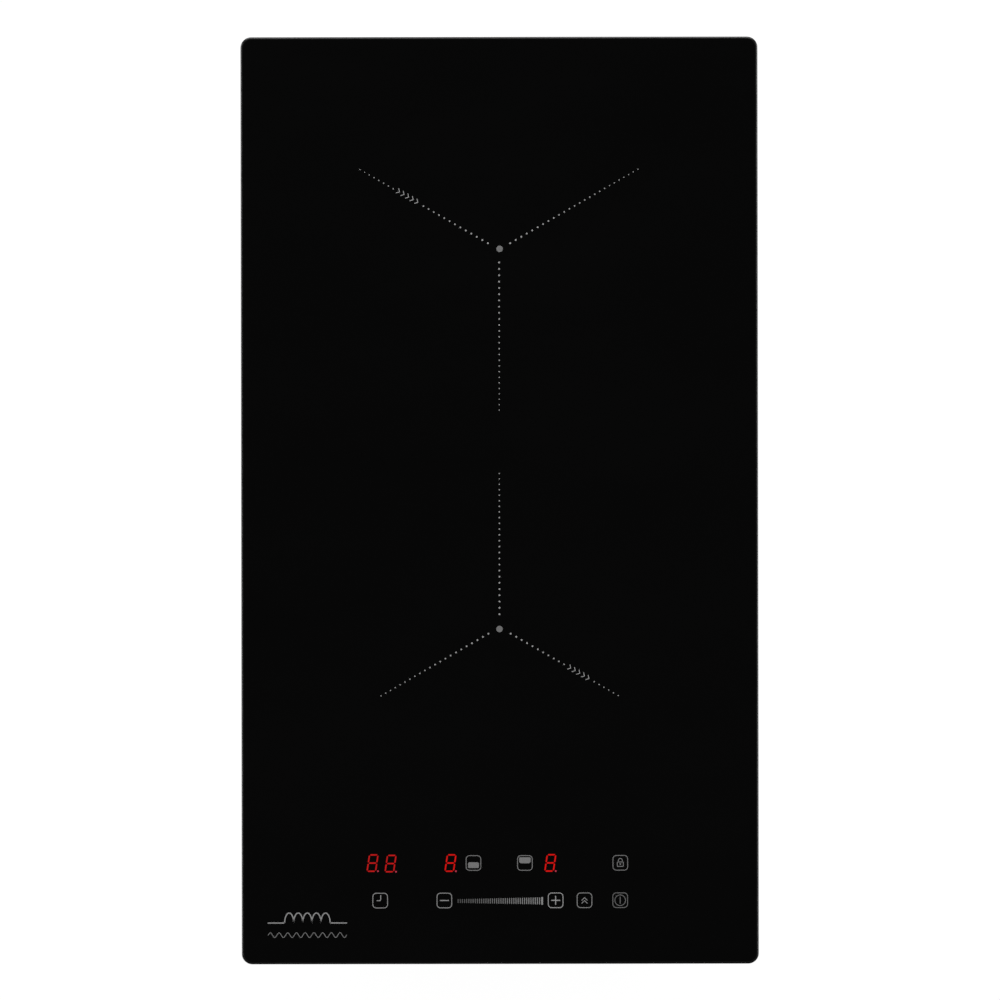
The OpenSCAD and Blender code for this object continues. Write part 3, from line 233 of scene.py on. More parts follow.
class Finish:
    """A procedural material: a Principled shader whose sockets take numbers, colours or Values."""

    def __init__(self, name, **sockets):
        self.material = bpy.data.materials.new(name)
        self.material.use_nodes = True
        self.tree = self.material.node_tree
        self.shader = self.tree.nodes["Principled BSDF"]
        self.set(**sockets)

    def set(self, **sockets):
        """Sets the shader's sockets; base_color stands for Base Color, and so on."""
        for name, value in sockets.items():
            self._feed(self.shader.inputs[name.replace("_", " ").title().replace("Ior", "IOR")], value)
        return self

    def _feed(self, socket, value):
        if isinstance(value, Value):
            self.tree.links.new(value.socket, socket)
        elif isinstance(value, (tuple, list, np.ndarray)):
            room = len(socket.default_value)
            socket.default_value = (list(value) + [1.0])[:room]
        else:
            socket.default_value = value

    def node(self, kind, settings=None, inputs=None, out=0):
        """Adds a node, sets it up, feeds its sockets, and gives one of its outputs."""
        made = self.tree.nodes.new(kind)
        for name, value in (settings or {}).items():
            setattr(made, name, value)
        for name, value in (inputs or {}).items():
            self._feed(made.inputs[name], value)
        return Value(self, made.outputs[out])

    def place(self, scale=(1, 1, 1), turn=(0, 0, 0), centre=(0, 0, 0)):
        """Object coordinates about a centre in mm, turned, and scaled to so many units a metre."""
        spot = self.node("ShaderNodeTexCoord", out="Object")
        moved = self.node("ShaderNodeVectorMath", {"operation": "SUBTRACT"},
                          {0: spot, 1: [c * MM for c in centre]})
        return self.node("ShaderNodeMapping", None, {"Vector": moved, "Scale": scale,
                                                     "Rotation": [math.radians(a) for a in turn]})

    def axis(self, place, name):
        """One coordinate of a place."""
        return self.node("ShaderNodeSeparateXYZ", None, {0: place}, out=name)

    def noise(self, place, scale, detail):
        """A cloudy pattern from 0 to 1, with scale features a unit and so many finer octaves."""
        return self.node("ShaderNodeTexNoise", None, {"Vector": place, "Scale": scale, "Detail": detail})

    def cells(self, place, scale):
        """Voronoi cells, each with a random colour of its own."""
        return self.node("ShaderNodeTexVoronoi", None, {"Vector": place, "Scale": scale}, "Color")

    def spread(self, value, low, high, to_low=0.0, to_high=1.0):
        """value from low to high, mapped to the range to_low to to_high and held inside it."""
        return self.node("ShaderNodeMapRange", {"clamp": True},
                         {"Value": value, "From Min": low, "From Max": high,
                          "To Min": to_low, "To Max": to_high})

    def mix(self, mask, a, b):
        """Colour a where mask is 0 and colour b where it is 1."""
        made = self.tree.nodes.new("ShaderNodeMix")
        made.data_type = "RGBA"
        self._feed(made.inputs["Factor"], mask)
        self._feed(made.inputs[6], a)
        self._feed(made.inputs[7], b)
        return Value(self, made.outputs[2])

    def bump(self, height, depth_mm, strength=1.0):
        """A bump of so many millimetres where height goes from 0 to 1."""
        return self.node("ShaderNodeBump", None,
                         {"Height": height, "Distance": depth_mm * MM, "Strength": strength})


def grey(level):
    return (level, level, level)


def speckled(name, colour, roughness, scale, depth, metallic=0.0, change=0.12, **fixed):
    """A finish with a fine all-over grain: scale features a metre, depth mm deep, and a slow drift of
    tone and gloss over the piece."""
    f = Finish(name, metallic=metallic, **fixed)
    grain = f.noise(f.place(), scale, 2.0)
    drift = f.noise(f.place(), scale / 30, 2.0)
    dark = [c * (1 - change) for c in colour]
    light = [min(c * (1 + change), 1.0) for c in colour]
    f.set(base_color=f.mix(f.spread(drift, 0.35, 0.65), dark, light),
          roughness=f.spread(grain + drift, 0.7, 1.3, roughness * 0.8, min(roughness * 1.2, 1.0)))
    if depth:
        f.set(normal=f.bump(grain, depth))
    return f


def black_glass():
    """Polished black glass ceramic, with the faintest smears in its gloss."""
    f = Finish("black_glass", ior=1.5)
    smear = f.noise(f.place((1, 2.4, 1), (0, 0, 24)), 9, 4.0)
    f.set(base_color=f.mix(f.spread(smear, 0.3, 0.7), grey(0.0016), grey(0.0024)),
          roughness=f.spread(smear, 0.35, 0.7, 0.035, 0.075))
    return f


def ground_edge():
    """The bevel, ground with a wheel that leaves fine scratches along it."""
    f = Finish("ground_edge", ior=1.5)
    grain = f.noise(f.place(), 1400, 3.0)
    long = f.noise(f.place(), 60, 2.0)
    f.set(base_color=f.mix(f.spread(long, 0.3, 0.7), grey(0.012), grey(0.022)),
          roughness=f.spread(grain + long, 0.7, 1.3, 0.14, 0.24), normal=f.bump(grain, 0.01))
    return f


def ink(name, level):
    """Ceramic ink, screen-printed: slightly uneven in tone and matter than the glass."""
    f = Finish(name)
    grain = f.noise(f.place(), 2600, 2.0)
    f.set(base_color=f.mix(f.spread(grain, 0.3, 0.7), grey(level * 0.88), grey(level * 1.1)),
          roughness=f.spread(grain, 0.3, 0.7, 0.38, 0.52))
    return f


def slider_ink(x0, x1, dark, light):
    """The slider's ink, which grows lighter from x0 to x1."""
    f = Finish("slider_ink")
    x = f.axis(f.place(), "X")
    rise = f.spread(x, x0 * MM, x1 * MM)
    grain = f.noise(f.place(), 2600, 2.0)
    f.set(base_color=f.mix(rise, grey(dark), grey(light)), roughness=f.spread(grain, 0.3, 0.7, 0.38, 0.52))
    return f


def lit_segment(name, colour, strength):
    """A red segment that shines through the glass, a little brighter in its middle spots."""
    f = Finish(name, base_color=(0.02, 0.001, 0.001), roughness=0.3)
    spots = f.noise(f.place(), 420, 1.0)
    f.set(emission_color=f.mix(f.spread(spots, 0.3, 0.7), [c * 0.82 for c in colour], colour),
          emission_strength=strength)
    return f


def galvanised(name, level=0.42, scale=260):
    """Galvanised sheet with small faint crystals, each with a tone and a gloss of its own, and a slow
    cloud over them."""
    f = Finish(name, metallic=1.0)
    place = f.place((1, 1.25, 1), (8, 5, 17))
    flake = f.cells(place, scale)
    one = f.axis(flake, "X")
    two = f.axis(flake, "Y")
    cloud = f.noise(f.place(), 14, 3.0)
    fine = f.noise(f.place(), 1100, 3.0)
    tone = f.spread(one * 0.45 + cloud * 0.4 + fine * 0.15, 0.2, 0.8)
    cool = (level * 0.88, level * 0.90, level * 0.93)
    warm = (level * 1.12, level * 1.13, level * 1.12)
    f.set(base_color=f.mix(tone, cool, warm), roughness=f.spread(two + fine * 0.4, 0.1, 1.3, 0.36, 0.50),
          normal=f.bump(fine, 0.012, 0.6))
    return f


def brushed(name, colour, roughness, along=(1, 0.03, 1)):
    """Metal drawn or brushed one way: noise stretched along the lines."""
    f = Finish(name, metallic=1.0)
    lines = f.noise(f.place(along), 1600, 3.0)
    drift = f.noise(f.place(), 40, 2.0)
    f.set(base_color=f.mix(f.spread(lines * 0.6 + drift * 0.4, 0.3, 0.7), [c * 0.88 for c in colour],
                           [min(c * 1.08, 1) for c in colour]),
          roughness=f.spread(lines, 0.3, 0.7, roughness * 0.85, roughness * 1.2), normal=f.bump(lines, 0.006))
    return f


def circuit_board():
    """Green solder resist over copper tracks, with tinned pads on a grid."""
    f = Finish("circuit_board", coat_weight=0.3, coat_roughness=0.15)
    spot = f.place()
    grid = 2.54 * MM
    x = f.axis(spot, "X") / grid
    y = f.axis(spot, "Y") / grid
    cell_x = (x.fraction() - 0.5).size()
    cell_y = (y.fraction() - 0.5).size()
    where = f.axis(f.cells(spot, 190), "X") > 0.62
    pad = f.spread(cell_x.most(cell_y), 0.30, 0.24) * where
    way = f.axis(f.cells(spot, 55), "Y") > 0.5
    track = f.spread(way * cell_x + (1 - way) * cell_y, 0.16, 0.10)
    resist = f.mix(track, (0.012, 0.085, 0.028), (0.020, 0.150, 0.050))
    f.set(base_color=f.mix(pad, resist, (0.62, 0.62, 0.60)), metallic=pad * 0.9,
          roughness=f.spread(pad, 0, 1, 0.38, 0.30), normal=f.bump(track.most(pad), 0.035))
    return f


def layered_mica():
    """Pressed mica paper: overlapping flakes that glint."""
    f = Finish("mica")
    flake = f.axis(f.cells(f.place(), 420), "X")
    cloud = f.noise(f.place(), 90, 3.0)
    tone = f.spread(flake * 0.6 + cloud * 0.4, 0.2, 0.8)
    f.set(base_color=f.mix(tone, (0.42, 0.34, 0.20), (0.70, 0.62, 0.42)),
          roughness=f.spread(flake, 0, 1, 0.32, 0.6), normal=f.bump(flake, 0.02))
    return f


def braid(name, colour):
    """A woven sleeve: two sets of diagonal yarns."""
    f = Finish(name)
    spot = f.place()
    height = f.axis(spot, "Z")
    across = f.axis(spot, "X") + f.axis(spot, "Y")
    left = ((height + across) * 900).fraction()
    right = ((height - across) * 900).fraction()
    weave = (left - 0.5).size().most((right - 0.5).size())
    f.set(base_color=f.mix(f.spread(weave, 0.2, 0.5), [c * 0.6 for c in colour], colour), roughness=0.75,
          normal=f.bump(weave, 0.15))
    return f


def striped(name, colour, edge, pitch):
    """A ribbon of moulded wires side by side along X, the first of them marked."""
    f = Finish(name, roughness=0.45)
    x = f.axis(f.place(), "X")
    groove = ((x / (pitch * MM)).fraction() - 0.5).size()
    mark_from, mark_to = -14.2, -14.0  # where the first wire's colour gives way to the others'
    f.set(base_color=f.mix(f.spread(x, mark_from * MM, mark_to * MM), edge, colour),
          normal=f.bump(f.spread(groove, 0.5, 0.2), 0.25))
    return f


# ---------------------------------------------------------------- the glass and what is printed on it


def glass_panel():
    """The panel as one skin: its round outline is drawn in and lifted along the edge's profile. The
    profile's slope falls evenly from steep at the rim to flat at the top, and that strip is ground."""
    low = glass_low[2]
    steps = 8
    lower_r = 0.35  # rounding of the lower rim
    lip = 0.03  # inset of the sharp corner where the bevel starts
    slope = np.radians(np.linspace(42, 8, steps))
    rise = np.cumsum(np.tan(slope)) * BEVEL / steps
    top = GLASS_T - INK
    foot = top - rise[-1]
    edge = [(lower_r, 0), (0.1, 0.1), (0, lower_r), (0, foot - 2 * lip), (lip, foot)]
    ground = range(len(edge) - 1, len(edge) - 1 + steps)
    edge += [(lip + BEVEL * (i + 1) / steps, foot + rise[i]) for i in range(steps)]
    edge.append((BEVEL + 0.4, top))
    rings = []
    for inset, height in edge:
        outline = round_rect(0, 0, GLASS_W - 2 * inset, GLASS_D - 2 * inset, CORNER_R - inset, 12)
        rings.append(np.column_stack([outline, np.full(len(outline), low + height)]))
    piece = Form().rings(rings).mesh("glass", black_glass().material, slot="black_glass",
                                     replaces=["glass_panel"], smooth=24)
    piece.data.materials.append(ground_edge().material)
    around = len(rings[0])
    for row in ground:
        for face in piece.data.polygons[row * around:(row + 1) * around]:
            face.material_index = 1


def ink_prism(form, outline):
    """Adds one printed shape, whose foot reaches just into the glass."""
    form.prism(outline, GLASS_TOP - INK_FOOT, INK_TOP)


def ink_band(form, outer, inner):
    """Adds the printed line between two outlines."""
    form.band(outer, inner, GLASS_TOP - INK_FOOT, INK_TOP)


def dotted_arm(form, origin, angle, first, last, count, pitch, tip, gap=range(0)):
    """Dots along an arm. They shrink outwards to the tip's radius, and the distance between them
    shrinks too, evenly, from the first pitch on."""
    steps = count - 1
    shrink = (steps * pitch - (last - first)) * 2 / (steps * (steps - 1))
    for i in range(count):
        if i in gap:
            continue
        r = first + i * pitch - shrink * i * (i - 1) / 2
        size = DOT_R + (tip - DOT_R) * i / steps
        x, y = turned([[r, 0]], angle, origin)[0]
        ink_prism(form, disc(x, y, size, 16))


def chevrons(form, centre, angle, count=5, pitch=2.95, line=0.36):
    """Small open arrowheads in a row, which mark the zone's booster."""
    for i in range(count):
        shift = (i - (count - 1) / 2) * pitch
        head = np.array([[-0.7, 1.4], [0.6, 0], [-0.7, -1.4]]) + [shift, 0]
        ink_prism(form, stroke(turned(head, angle, centre), line))


def zone_marks():
    """The two stars of dots, each round a larger dot at the middle of its zone. One arm of each has
    arrowheads in a gap in its dots."""
    dots = ink("ink_dots", 0.69).material
    rear = Form()
    meet = REAR_ZONE + [-0.13, -0.43]
    for angle, gap in ((30, range(0)), (150, range(13, 18)), (270, range(0))):
        dotted_arm(rear, meet, angle, first=7.2, last=90.0, count=26, pitch=3.62, tip=0.28, gap=gap)
    chevrons(rear, REAR_ZONE + [-51.3, 29.4], -30)
    rear.mesh("rear_zone_marks", dots, slot="black_glass")
    front = Form()
    meet = FRONT_ZONE + [-0.2, 1.0]
    dotted_arm(front, meet, 90, first=7.3, last=86.2, count=25, pitch=3.57, tip=0.33)
    for angle, gap in ((210, range(0)), (330, range(11, 16))):
        dotted_arm(front, meet, angle, first=7.2, last=76.8, count=22, pitch=3.57, tip=0.32, gap=gap)
    chevrons(front, FRONT_ZONE + [44.3, -24.6], -30)
    front.mesh("front_zone_marks", dots, slot="black_glass")
    centres = Form()
    centre_r = 1.8
    for place in (REAR_ZONE + [0.2, 0], FRONT_ZONE + [-0.2, 0]):
        ink_prism(centres, disc(*place, centre_r, 40))
    centres.mesh("zone_centres", ink("ink_centres", 0.34).material, slot="black_glass")


def key_frame(form, x, y):
    """The square line with round corners that frames a key."""
    inside = KEY_SIZE - 2 * KEY_LINE
    ink_band(form, round_rect(x, y, KEY_SIZE, KEY_SIZE, KEY_R),
             round_rect(x, y, inside, inside, KEY_R - KEY_LINE))


def half_key(form, x, y, fill):
    """The key of one zone: the filled half shows whether it is the front or the rear one."""
    shift, w, h, radii = fill
    ink_prism(form, round_rect(x, y + shift, w, h, radii))


def lock_key(form, x, y):
    """A padlock: a framed body with a keyhole, and a bow over it."""
    body_y = y - 0.8
    ink_band(form, round_rect(x, body_y, 3.85, 2.9, 0.55), round_rect(x, body_y, 3.0, 2.05, 0.25))
    keyhole = np.array([[0, -0.55], [0.5, 0.2], [0.25, 0.45], [-0.25, 0.45], [-0.5, 0.2]])
    ink_prism(form, keyhole + [x, body_y])
    bow = np.vstack([[x + 1.1, y + 0.6], arc(x, y + 1.35, 1.1, 0, 180, 11), [x - 1.1, y + 0.6]])
    ink_prism(form, stroke(bow, 0.42))


def clock_key(form, x, y):
    """A clock's two hands, joined by a round bend."""
    x = x + 0.3
    hands = np.vstack([[x, y + 2.9], arc(x - 0.8, y + 0.75, 0.8, 0, -90, 6), [x - 2.1, y - 0.05]])
    ink_prism(form, stroke(hands, 0.5))


def minus_key(form, x, y):
    """A flat bar."""
    ink_prism(form, round_rect(x, y, 5.1, 0.55, 0.15))


def plus_key(form, x, y, half=2.5, w=0.26):
    """A cross whose arms are half long and twice w wide."""
    cross = [(w, w), (w, half), (-w, half), (-w, w), (-half, w), (-half, -w), (-w, -w), (-w, -half),
             (w, -half), (w, -w), (half, -w), (half, w)]
    ink_prism(form, np.array(cross) + [x, y])


def booster_key(form, x, y):
    """Two arrowheads that point up."""
    for lift in (-0.7, 0.95):
        head = np.array([[-1.5, -0.95], [0, 0.55], [1.5, -0.95]]) + [x, y + lift]
        ink_prism(form, stroke(head, 0.43))


def power_key(form, x, y):
    """A ring with a bar in it."""
    ink_band(form, disc(x, y, 3.18, 40), disc(x, y, 2.8, 40))
    ink_prism(form, round_rect(x, y, 0.45, 4.0, 0.2))


def printed_keys():
    """Every key: its place, how light its ink is, and what it shows inside its frame."""
    keys = [
        ("front_zone_key", -15.0, UPPER_KEYS_Y, 0.40, half_key, (-1.2, 6.1, 3.2, (0.9, 0.9, 0.5, 0.5))),
        ("rear_zone_key", 13.85, UPPER_KEYS_Y, 0.415, half_key, (1.5, 6.4, 3.35, (0.5, 0.5, 1.2, 1.2))),
        ("lock_key", 67.35, UPPER_KEYS_Y, 0.375, lock_key),
        ("timer_key", -67.35, LOWER_KEYS_Y, 0.58, clock_key),
        ("minus_key", -31.35, LOWER_KEYS_Y, 0.59, minus_key),
        ("plus_key", 31.05, LOWER_KEYS_Y, 0.70, plus_key),
        ("booster_key", 47.25, LOWER_KEYS_Y, 0.50, booster_key),
        ("power_key", 67.25, LOWER_KEYS_Y, 0.31, power_key),
    ]
    for name, x, y, level, symbol, *fill in keys:
        form = Form()
        key_frame(form, x, y)
        symbol(form, x, y, *fill)
        form.mesh(name, ink("ink_" + name, level).material, slot="black_glass")


def slider_bars(x0=-23.9, x1=23.95, count=40):
    """The slider: upright bars that grow to the right, the last of them wider."""
    form = Form()
    last_w = 0.95
    pitch = (x1 - x0 - last_w) / (count - 1)
    for i in range(count):
        rise = i / (count - 1)
        w, h = (0.5, 2.1 + 1.8 * rise) if i < count - 1 else (last_w, 4.3)
        ink_prism(form, round_rect(x0 + pitch * i + w / 2, LOWER_KEYS_Y - 0.3, w, h, 0.12, 3))
    form.mesh("slider_bars", slider_ink(x0, x1, 0.19, 0.58).material, slot="black_glass")


def coil_emblem():
    """A plain sign for a coil, five tall humps between two leads, over a fine wave."""
    left, right = -130.2, -86.2
    y = FRONT_EDGE + 23.2
    middle = (left + right) / 2
    hump = np.array([2.55, 5.6])  # half its width, and its height
    humps = 5
    line = 0.62
    coil = Form()
    start = middle - humps * hump[0]
    ink_prism(coil, stroke([[left, y], [start, y]], line))
    ink_prism(coil, stroke([[middle + humps * hump[0], y], [right, y]], line))
    for i in range(humps):
        bow = arc(0, 0, 1, 180, 0, 19) * hump + [start + (2 * i + 1) * hump[0], y]
        ink_prism(coil, stroke(bow, line))
    coil.mesh("coil_emblem", ink("ink_emblem", 0.60).material, slot="black_glass")
    drop, swing, periods = 6.8, 1.35, 9
    t = np.linspace(0, 1, 20 * periods + 1)
    height = y - drop + swing * np.sin(2 * np.pi * periods * t)
    wave = Form()
    ink_prism(wave, stroke(np.column_stack([left + (right - left) * t, height]), 0.36))
    wave.mesh("wave_emblem", ink("ink_wave", 0.40).material, slot="black_glass")


def digit(form, dot, x, y, w=4.75, h=9.15, lean=8.5, bar=0.78):
    """A seven-segment eight that leans to the right, and its decimal point in another form."""
    shear = math.tan(math.radians(lean))
    half = bar / 2
    gap = 0.28  # from a bar's tip to the corner where two bars would meet
    point_in, point_r = 1.35, 0.5

    def put(points):
        p = np.array(points, float)
        p[:, 0] += p[:, 1] * shear
        ink_prism(form, p + [x, y])

    for sy in (-1, 0, 1):
        yy, e = sy * h / 2, w / 2 - gap
        put([(-e, yy), (-e + half, yy - half), (e - half, yy - half), (e, yy), (e - half, yy + half),
             (-e + half, yy + half)])
    for sx in (-1, 1):
        for y0 in (-h / 2, 0):
            xx, a, b = sx * w / 2, y0 + gap, y0 + h / 2 - gap
            put([(xx, a), (xx + half, a + half), (xx + half, b - half), (xx, b), (xx - half, b - half),
                 (xx - half, a + half)])
    ink_prism(dot, disc(x + w / 2 + point_in - h / 2 * shear, y - h / 2, point_r, 14))


def lit_digits():
    """The timer's pair, and one digit for each zone."""
    bright = lit_segment("lit_digit", (0.85, 0.008, 0.006), 0.80).material
    dim = lit_segment("lit_timer", (0.70, 0.012, 0.012), 0.72).material
    point = lit_segment("lit_point", (0.62, 0.05, 0.10), 0.8).material
    dots = Form()
    for name, places, glow in (("timer_digits", ((-71.6, 0.05), (-61.5, -0.25)), dim),
                               ("front_zone_digit", ((-27.9, 0),), bright),
                               ("rear_zone_digit", ((28.1, 0),), bright)):
        form = Form()
        for x, lift in places:
            digit(form, dots, x, UPPER_KEYS_Y + lift)
        form.mesh(name, glow, slot="display_plastic")
    dots.mesh("decimal_points", point, slot="display_plastic")


# ---------------------------------------------------------------- wire: springs, windings and chokes


def pipe(form, path, radius, sides, side, lobes=0, twist=0.0):
    """A round wire along a path: rings set square to it, laid out from the direction side.
    With lobes it is a rope, whose radius swells so many times round and turns by twist a ring."""
    path = np.asarray(path, float)
    along = np.gradient(path, axis=0)
    along /= np.linalg.norm(along, axis=1, keepdims=True)
    u = side - (side * along).sum(1, keepdims=True) * along
    u /= np.linalg.norm(u, axis=1, keepdims=True)
    v = np.cross(along, u)
    a = np.arange(sides) * 2 * np.pi / sides
    turn = a[None, :] + twist * np.arange(len(path))[:, None]
    r = radius * (1 - 0.09 * (1 - np.cos(lobes * turn))) if lobes else np.full(turn.shape, radius)
    rings = (path[:, None] + r[..., None] * (np.cos(a)[None, :, None] * u[:, None]
                                             + np.sin(a)[None, :, None] * v[:, None]))
    return form.rings(rings)


def helix(x, y, z0, z1, r0, r1, turns, per_turn=20, flat=0.75):
    """A spring's centre line and its outward directions: it climbs from z0 to z1 while its radius goes
    from r0 to r1, with a flat closing turn at both ends."""
    t = np.linspace(0, 1, int(turns * per_turn) + 1)
    a = 2 * np.pi * turns * t
    share = flat / turns
    lift = np.clip((t - share) / (1 - 2 * share), 0, 1)
    r = r0 + (r1 - r0) * t
    out = np.column_stack([np.cos(a), np.sin(a), np.zeros_like(a)])
    return np.column_stack([x + r * out[:, 0], y + r * out[:, 1], z0 + (z1 - z0) * lift]), out


def solid_centres(node):
    """Middle, in plan, and lowest and highest point of each separate solid of a CAD node. A point's
    solid is found by joining the ends of its edges until nothing changes."""
    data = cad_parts[node].data
    points = np.zeros(len(data.vertices) * 3, np.float32)
    data.vertices.foreach_get("co", points)
    points = points.reshape(-1, 3) / MM
    edges = np.zeros(len(data.edges) * 2, np.int64)
    data.edges.foreach_get("vertices", edges)
    edges = edges.reshape(-1, 2)
    # The mesh is loose triangles, so equal points share one number first
    _, same = np.unique(points.round(3), axis=0, return_inverse=True)
    same = same.ravel()
    ends = same[edges]
    label = np.arange(same.max() + 1)
    while True:
        lowest = np.minimum(label[ends[:, 0]], label[ends[:, 1]])
        new = label.copy()
        np.minimum.at(new, ends[:, 0], lowest)
        np.minimum.at(new, ends[:, 1], lowest)
        new = new[new]
        if (new == label).all():
            break
        label = new
    groups = label[same]
    found = []
    for g in np.unique(groups):
        p = points[groups == g]
        low, high = p.min(0), p.max(0)
        found.append(((low + high) / 2, low, high))
    return found


def support_springs(steel):
    """Compression springs under the coil carriers and the control holder."""
    form = Form()
    wire = 0.45
    for middle, low, high in solid_centres("support_springs"):
        r = (high[0] - low[0]) / 2 - wire
        turns = 2 + (high[2] - low[2]) / 1.9
        path, out = helix(middle[0], middle[1], low[2] + wire, high[2] - wire, r, r, turns)
        pipe(form, path, wire, 8, out)
    form.mesh("support_coils", steel, slot="spring_steel", replaces=["support_springs"], smooth=60)


def touch_springs(steel):
    """Sensing springs: cones of wire that end in a wide closed turn under the glass."""
    form = Form()
    wire = 0.3
    for middle, low, high in solid_centres("touch_springs"):
        r = (high[0] - low[0]) / 2 - wire
        path, out = helix(middle[0], middle[1], low[2] + wire, high[2] - wire, r * 0.72, r, 6.5)
        pipe(form, path, wire, 7, out)
    form.mesh("touch_coils", steel, slot="spring_steel", replaces=["touch_springs"], smooth=60)


def winding(name, turn_pitch=4.0, hole_r=23.0, per_turn=84):
    """A flat spiral of litz wire: the radius grows by one pitch a turn, and seven strands twist."""
    low, high = mm_box(name)
    x, y, z = (low + high) / 2
    outer = (high[0] - low[0]) / 2
    radius = (high[2] - low[2]) / 2 - 0.02
    turns = math.floor((outer - hole_r) / turn_pitch) - 0.05
    start = hole_r + radius
    t = np.linspace(0, turns, int(turns * per_turn))
    a = 2 * np.pi * t
    r = start + (outer - radius - start) * t / turns
    out = np.column_stack([np.cos(a), np.sin(a), np.zeros_like(a)])
    path = out * r[:, None] + [x, y, z]
    form = Form()
    side = np.broadcast_to([0.0, 0.0, 1.0], path.shape)
    # Rings lie closer on the small turns, so the rope's twist follows the length run
    pipe(form, path, radius * 0.95, 28, side, lobes=7, twist=0.42)
    form.mesh(name + "_spiral", COPPER, slot="copper_windings", replaces=[name], smooth=60)


def wound_rings(node, name, wire=0.85, turns=24, per_turn=18):
    """Ring cores with their wire: the wire runs round the ring's section while it goes round the ring."""
    core = Form()
    coil = Form()
    for middle, low, high in solid_centres(node):
        height = high[2] - low[2]
        section = (height - 1) / 2
        ring_r = (high[0] - low[0]) / 2 - section
        centre = np.array([middle[0], middle[1], high[2] - section])
        body = section - 2 * wire
        a = np.linspace(0, 2 * np.pi, 49)[:-1]
        b = np.linspace(0, 2 * np.pi, 17)[:-1]
        aa, bb = np.meshgrid(a, b, indexing="ij")
        # Rings of the core's section, carried round its circle
        rr = ring_r + body * np.cos(bb)
        points = np.stack([rr * np.cos(aa), rr * np.sin(aa), body * np.sin(bb)], -1) + centre
        core.rings(points[::-1], loop=True)
        ends = np.radians([12, 348])  # the gap between the wire's two ends
        a = np.linspace(*ends, turns * per_turn)
        b = np.linspace(0, 2 * np.pi * turns, turns * per_turn)
        way = section - wire
        rr = ring_r + way * np.cos(b)
        path = np.column_stack([rr * np.cos(a), rr * np.sin(a), way * np.sin(b)]) + centre
        out = np.column_stack([np.cos(b) * np.cos(a), np.cos(b) * np.sin(a), np.sin(b)])
        pipe(coil, path, wire, 8, out)
        core.prism(disc(centre[0], centre[1], ring_r + section * 0.6, 40), low[2], low[2] + 1.0)
    core.mesh(name + "_cores", FERRITE, slot="ferrite", smooth=60)
    coil.mesh(name + "_wire", COPPER, slot="copper_windings", replaces=[node], smooth=60)


# ---------------------------------------------------------------- finishes of the CAD's own parts


def plastic(name, colour, roughness=0.5, depth=0.02, scale=1500, **fixed):
    """Moulded plastic with a spark-eroded grain."""
    return speckled(name, colour, roughness, scale, depth, **fixed).material


STEEL = brushed("zinc_plated", (0.66, 0.67, 0.68), 0.32).material
COPPER = speckled("enamelled_copper", (0.50, 0.20, 0.07), 0.32, 700, 0.01, coat_weight=0.6).material
FERRITE = speckled("ferrite", (0.035, 0.035, 0.038), 0.6, 1800, 0.02).material
BLACK = plastic("black_plastic", (0.018, 0.018, 0.019))
DARK = plastic("dark_plastic", (0.045, 0.045, 0.05))
WHITE = plastic("white_plastic", (0.72, 0.72, 0.69), 0.4)
ALUMINIUM = brushed("mill_aluminium", (0.72, 0.73, 0.74), 0.34, (0.04, 1, 1)).material
RAIL = brushed("rail_steel", (0.52, 0.53, 0.54), 0.38).material
BRASS = brushed("brass", (0.70, 0.50, 0.22), 0.30).material
BOARD = circuit_board().material
MICA = layered_mica().material
EPOXY = plastic("moulded_epoxy", (0.012, 0.012, 0.013), 0.55)
SENSOR = plastic("sensor_silicone", (0.70, 0.67, 0.58), 0.5)

NODE_FINISHES = {
    "edge_seal": speckled("seal_foam", (0.022, 0.022, 0.023), 0.95, 900, 0.25).material,
    "silicone_beads": speckled("silicone", (0.06, 0.06, 0.065), 0.35, 200, 0.06).material,
    "base_tray": galvanised("galvanised_sheet").material,
    "terminal_block": plastic("ivory_plastic", (0.62, 0.57, 0.44), 0.45),
    "cable_grommet": speckled("black_rubber", (0.012, 0.012, 0.012), 0.7, 600, 0.03).material,
    "heat_sink": ALUMINIUM,
    "coil_plate": ALUMINIUM,
    "motor_stator": COPPER,
    "motor_shaft": brushed("ground_steel", (0.70, 0.71, 0.72), 0.2, (1, 1, 0.05)).material,
    "film_capacitors": plastic("yellow_film", (0.58, 0.34, 0.03), 0.35),
    "electrolytic_capacitors": plastic("capacitor_sleeve", (0.012, 0.030, 0.085), 0.25),
    "transformer": plastic("transformer_tape", (0.56, 0.44, 0.07), 0.35),
    "mains_fuse": brushed("fuse_metal", (0.72, 0.72, 0.70), 0.25).material,
    "display_modules": plastic("display_plastic", (0.030, 0.006, 0.006), 0.2),
    "coil_leads": braid("yellow_sleeve", (0.62, 0.50, 0.24)).material,
    "sensor_leads": plastic("white_insulation", (0.74, 0.72, 0.66), 0.4),
    "mains_wires": plastic("brown_insulation", (0.16, 0.05, 0.02), 0.4),
    "ribbon_cable": striped("grey_ribbon", (0.30, 0.31, 0.33), (0.45, 0.03, 0.03), 1.27).material,
}
SHARED_FINISHES = [
    (RAIL, "left_rail right_rail front_rail rear_rail"),
    (STEEL, "front_left_bracket front_right_bracket rear_left_bracket rear_right_bracket"),
    (STEEL, "side_screws bracket_screws inner_screws"),
    (BRASS, "bracket_nuts board_standoffs terminal_screws"),
    (BLACK, "terminal_box terminal_cover control_holder"),
    (DARK, "blower_housing blower_cover rear_coil_carrier front_coil_carrier"),
    (WHITE, "impeller board_connectors relay"),
    (BOARD, "power_board filter_board control_board"),
    (EPOXY, "power_transistors rectifier_bridge"),
    (MICA, "rear_mica_disc front_mica_disc"),
    (FERRITE, "rear_ferrites front_ferrites"),
    (SENSOR, "rear_sensor front_sensor"),
]


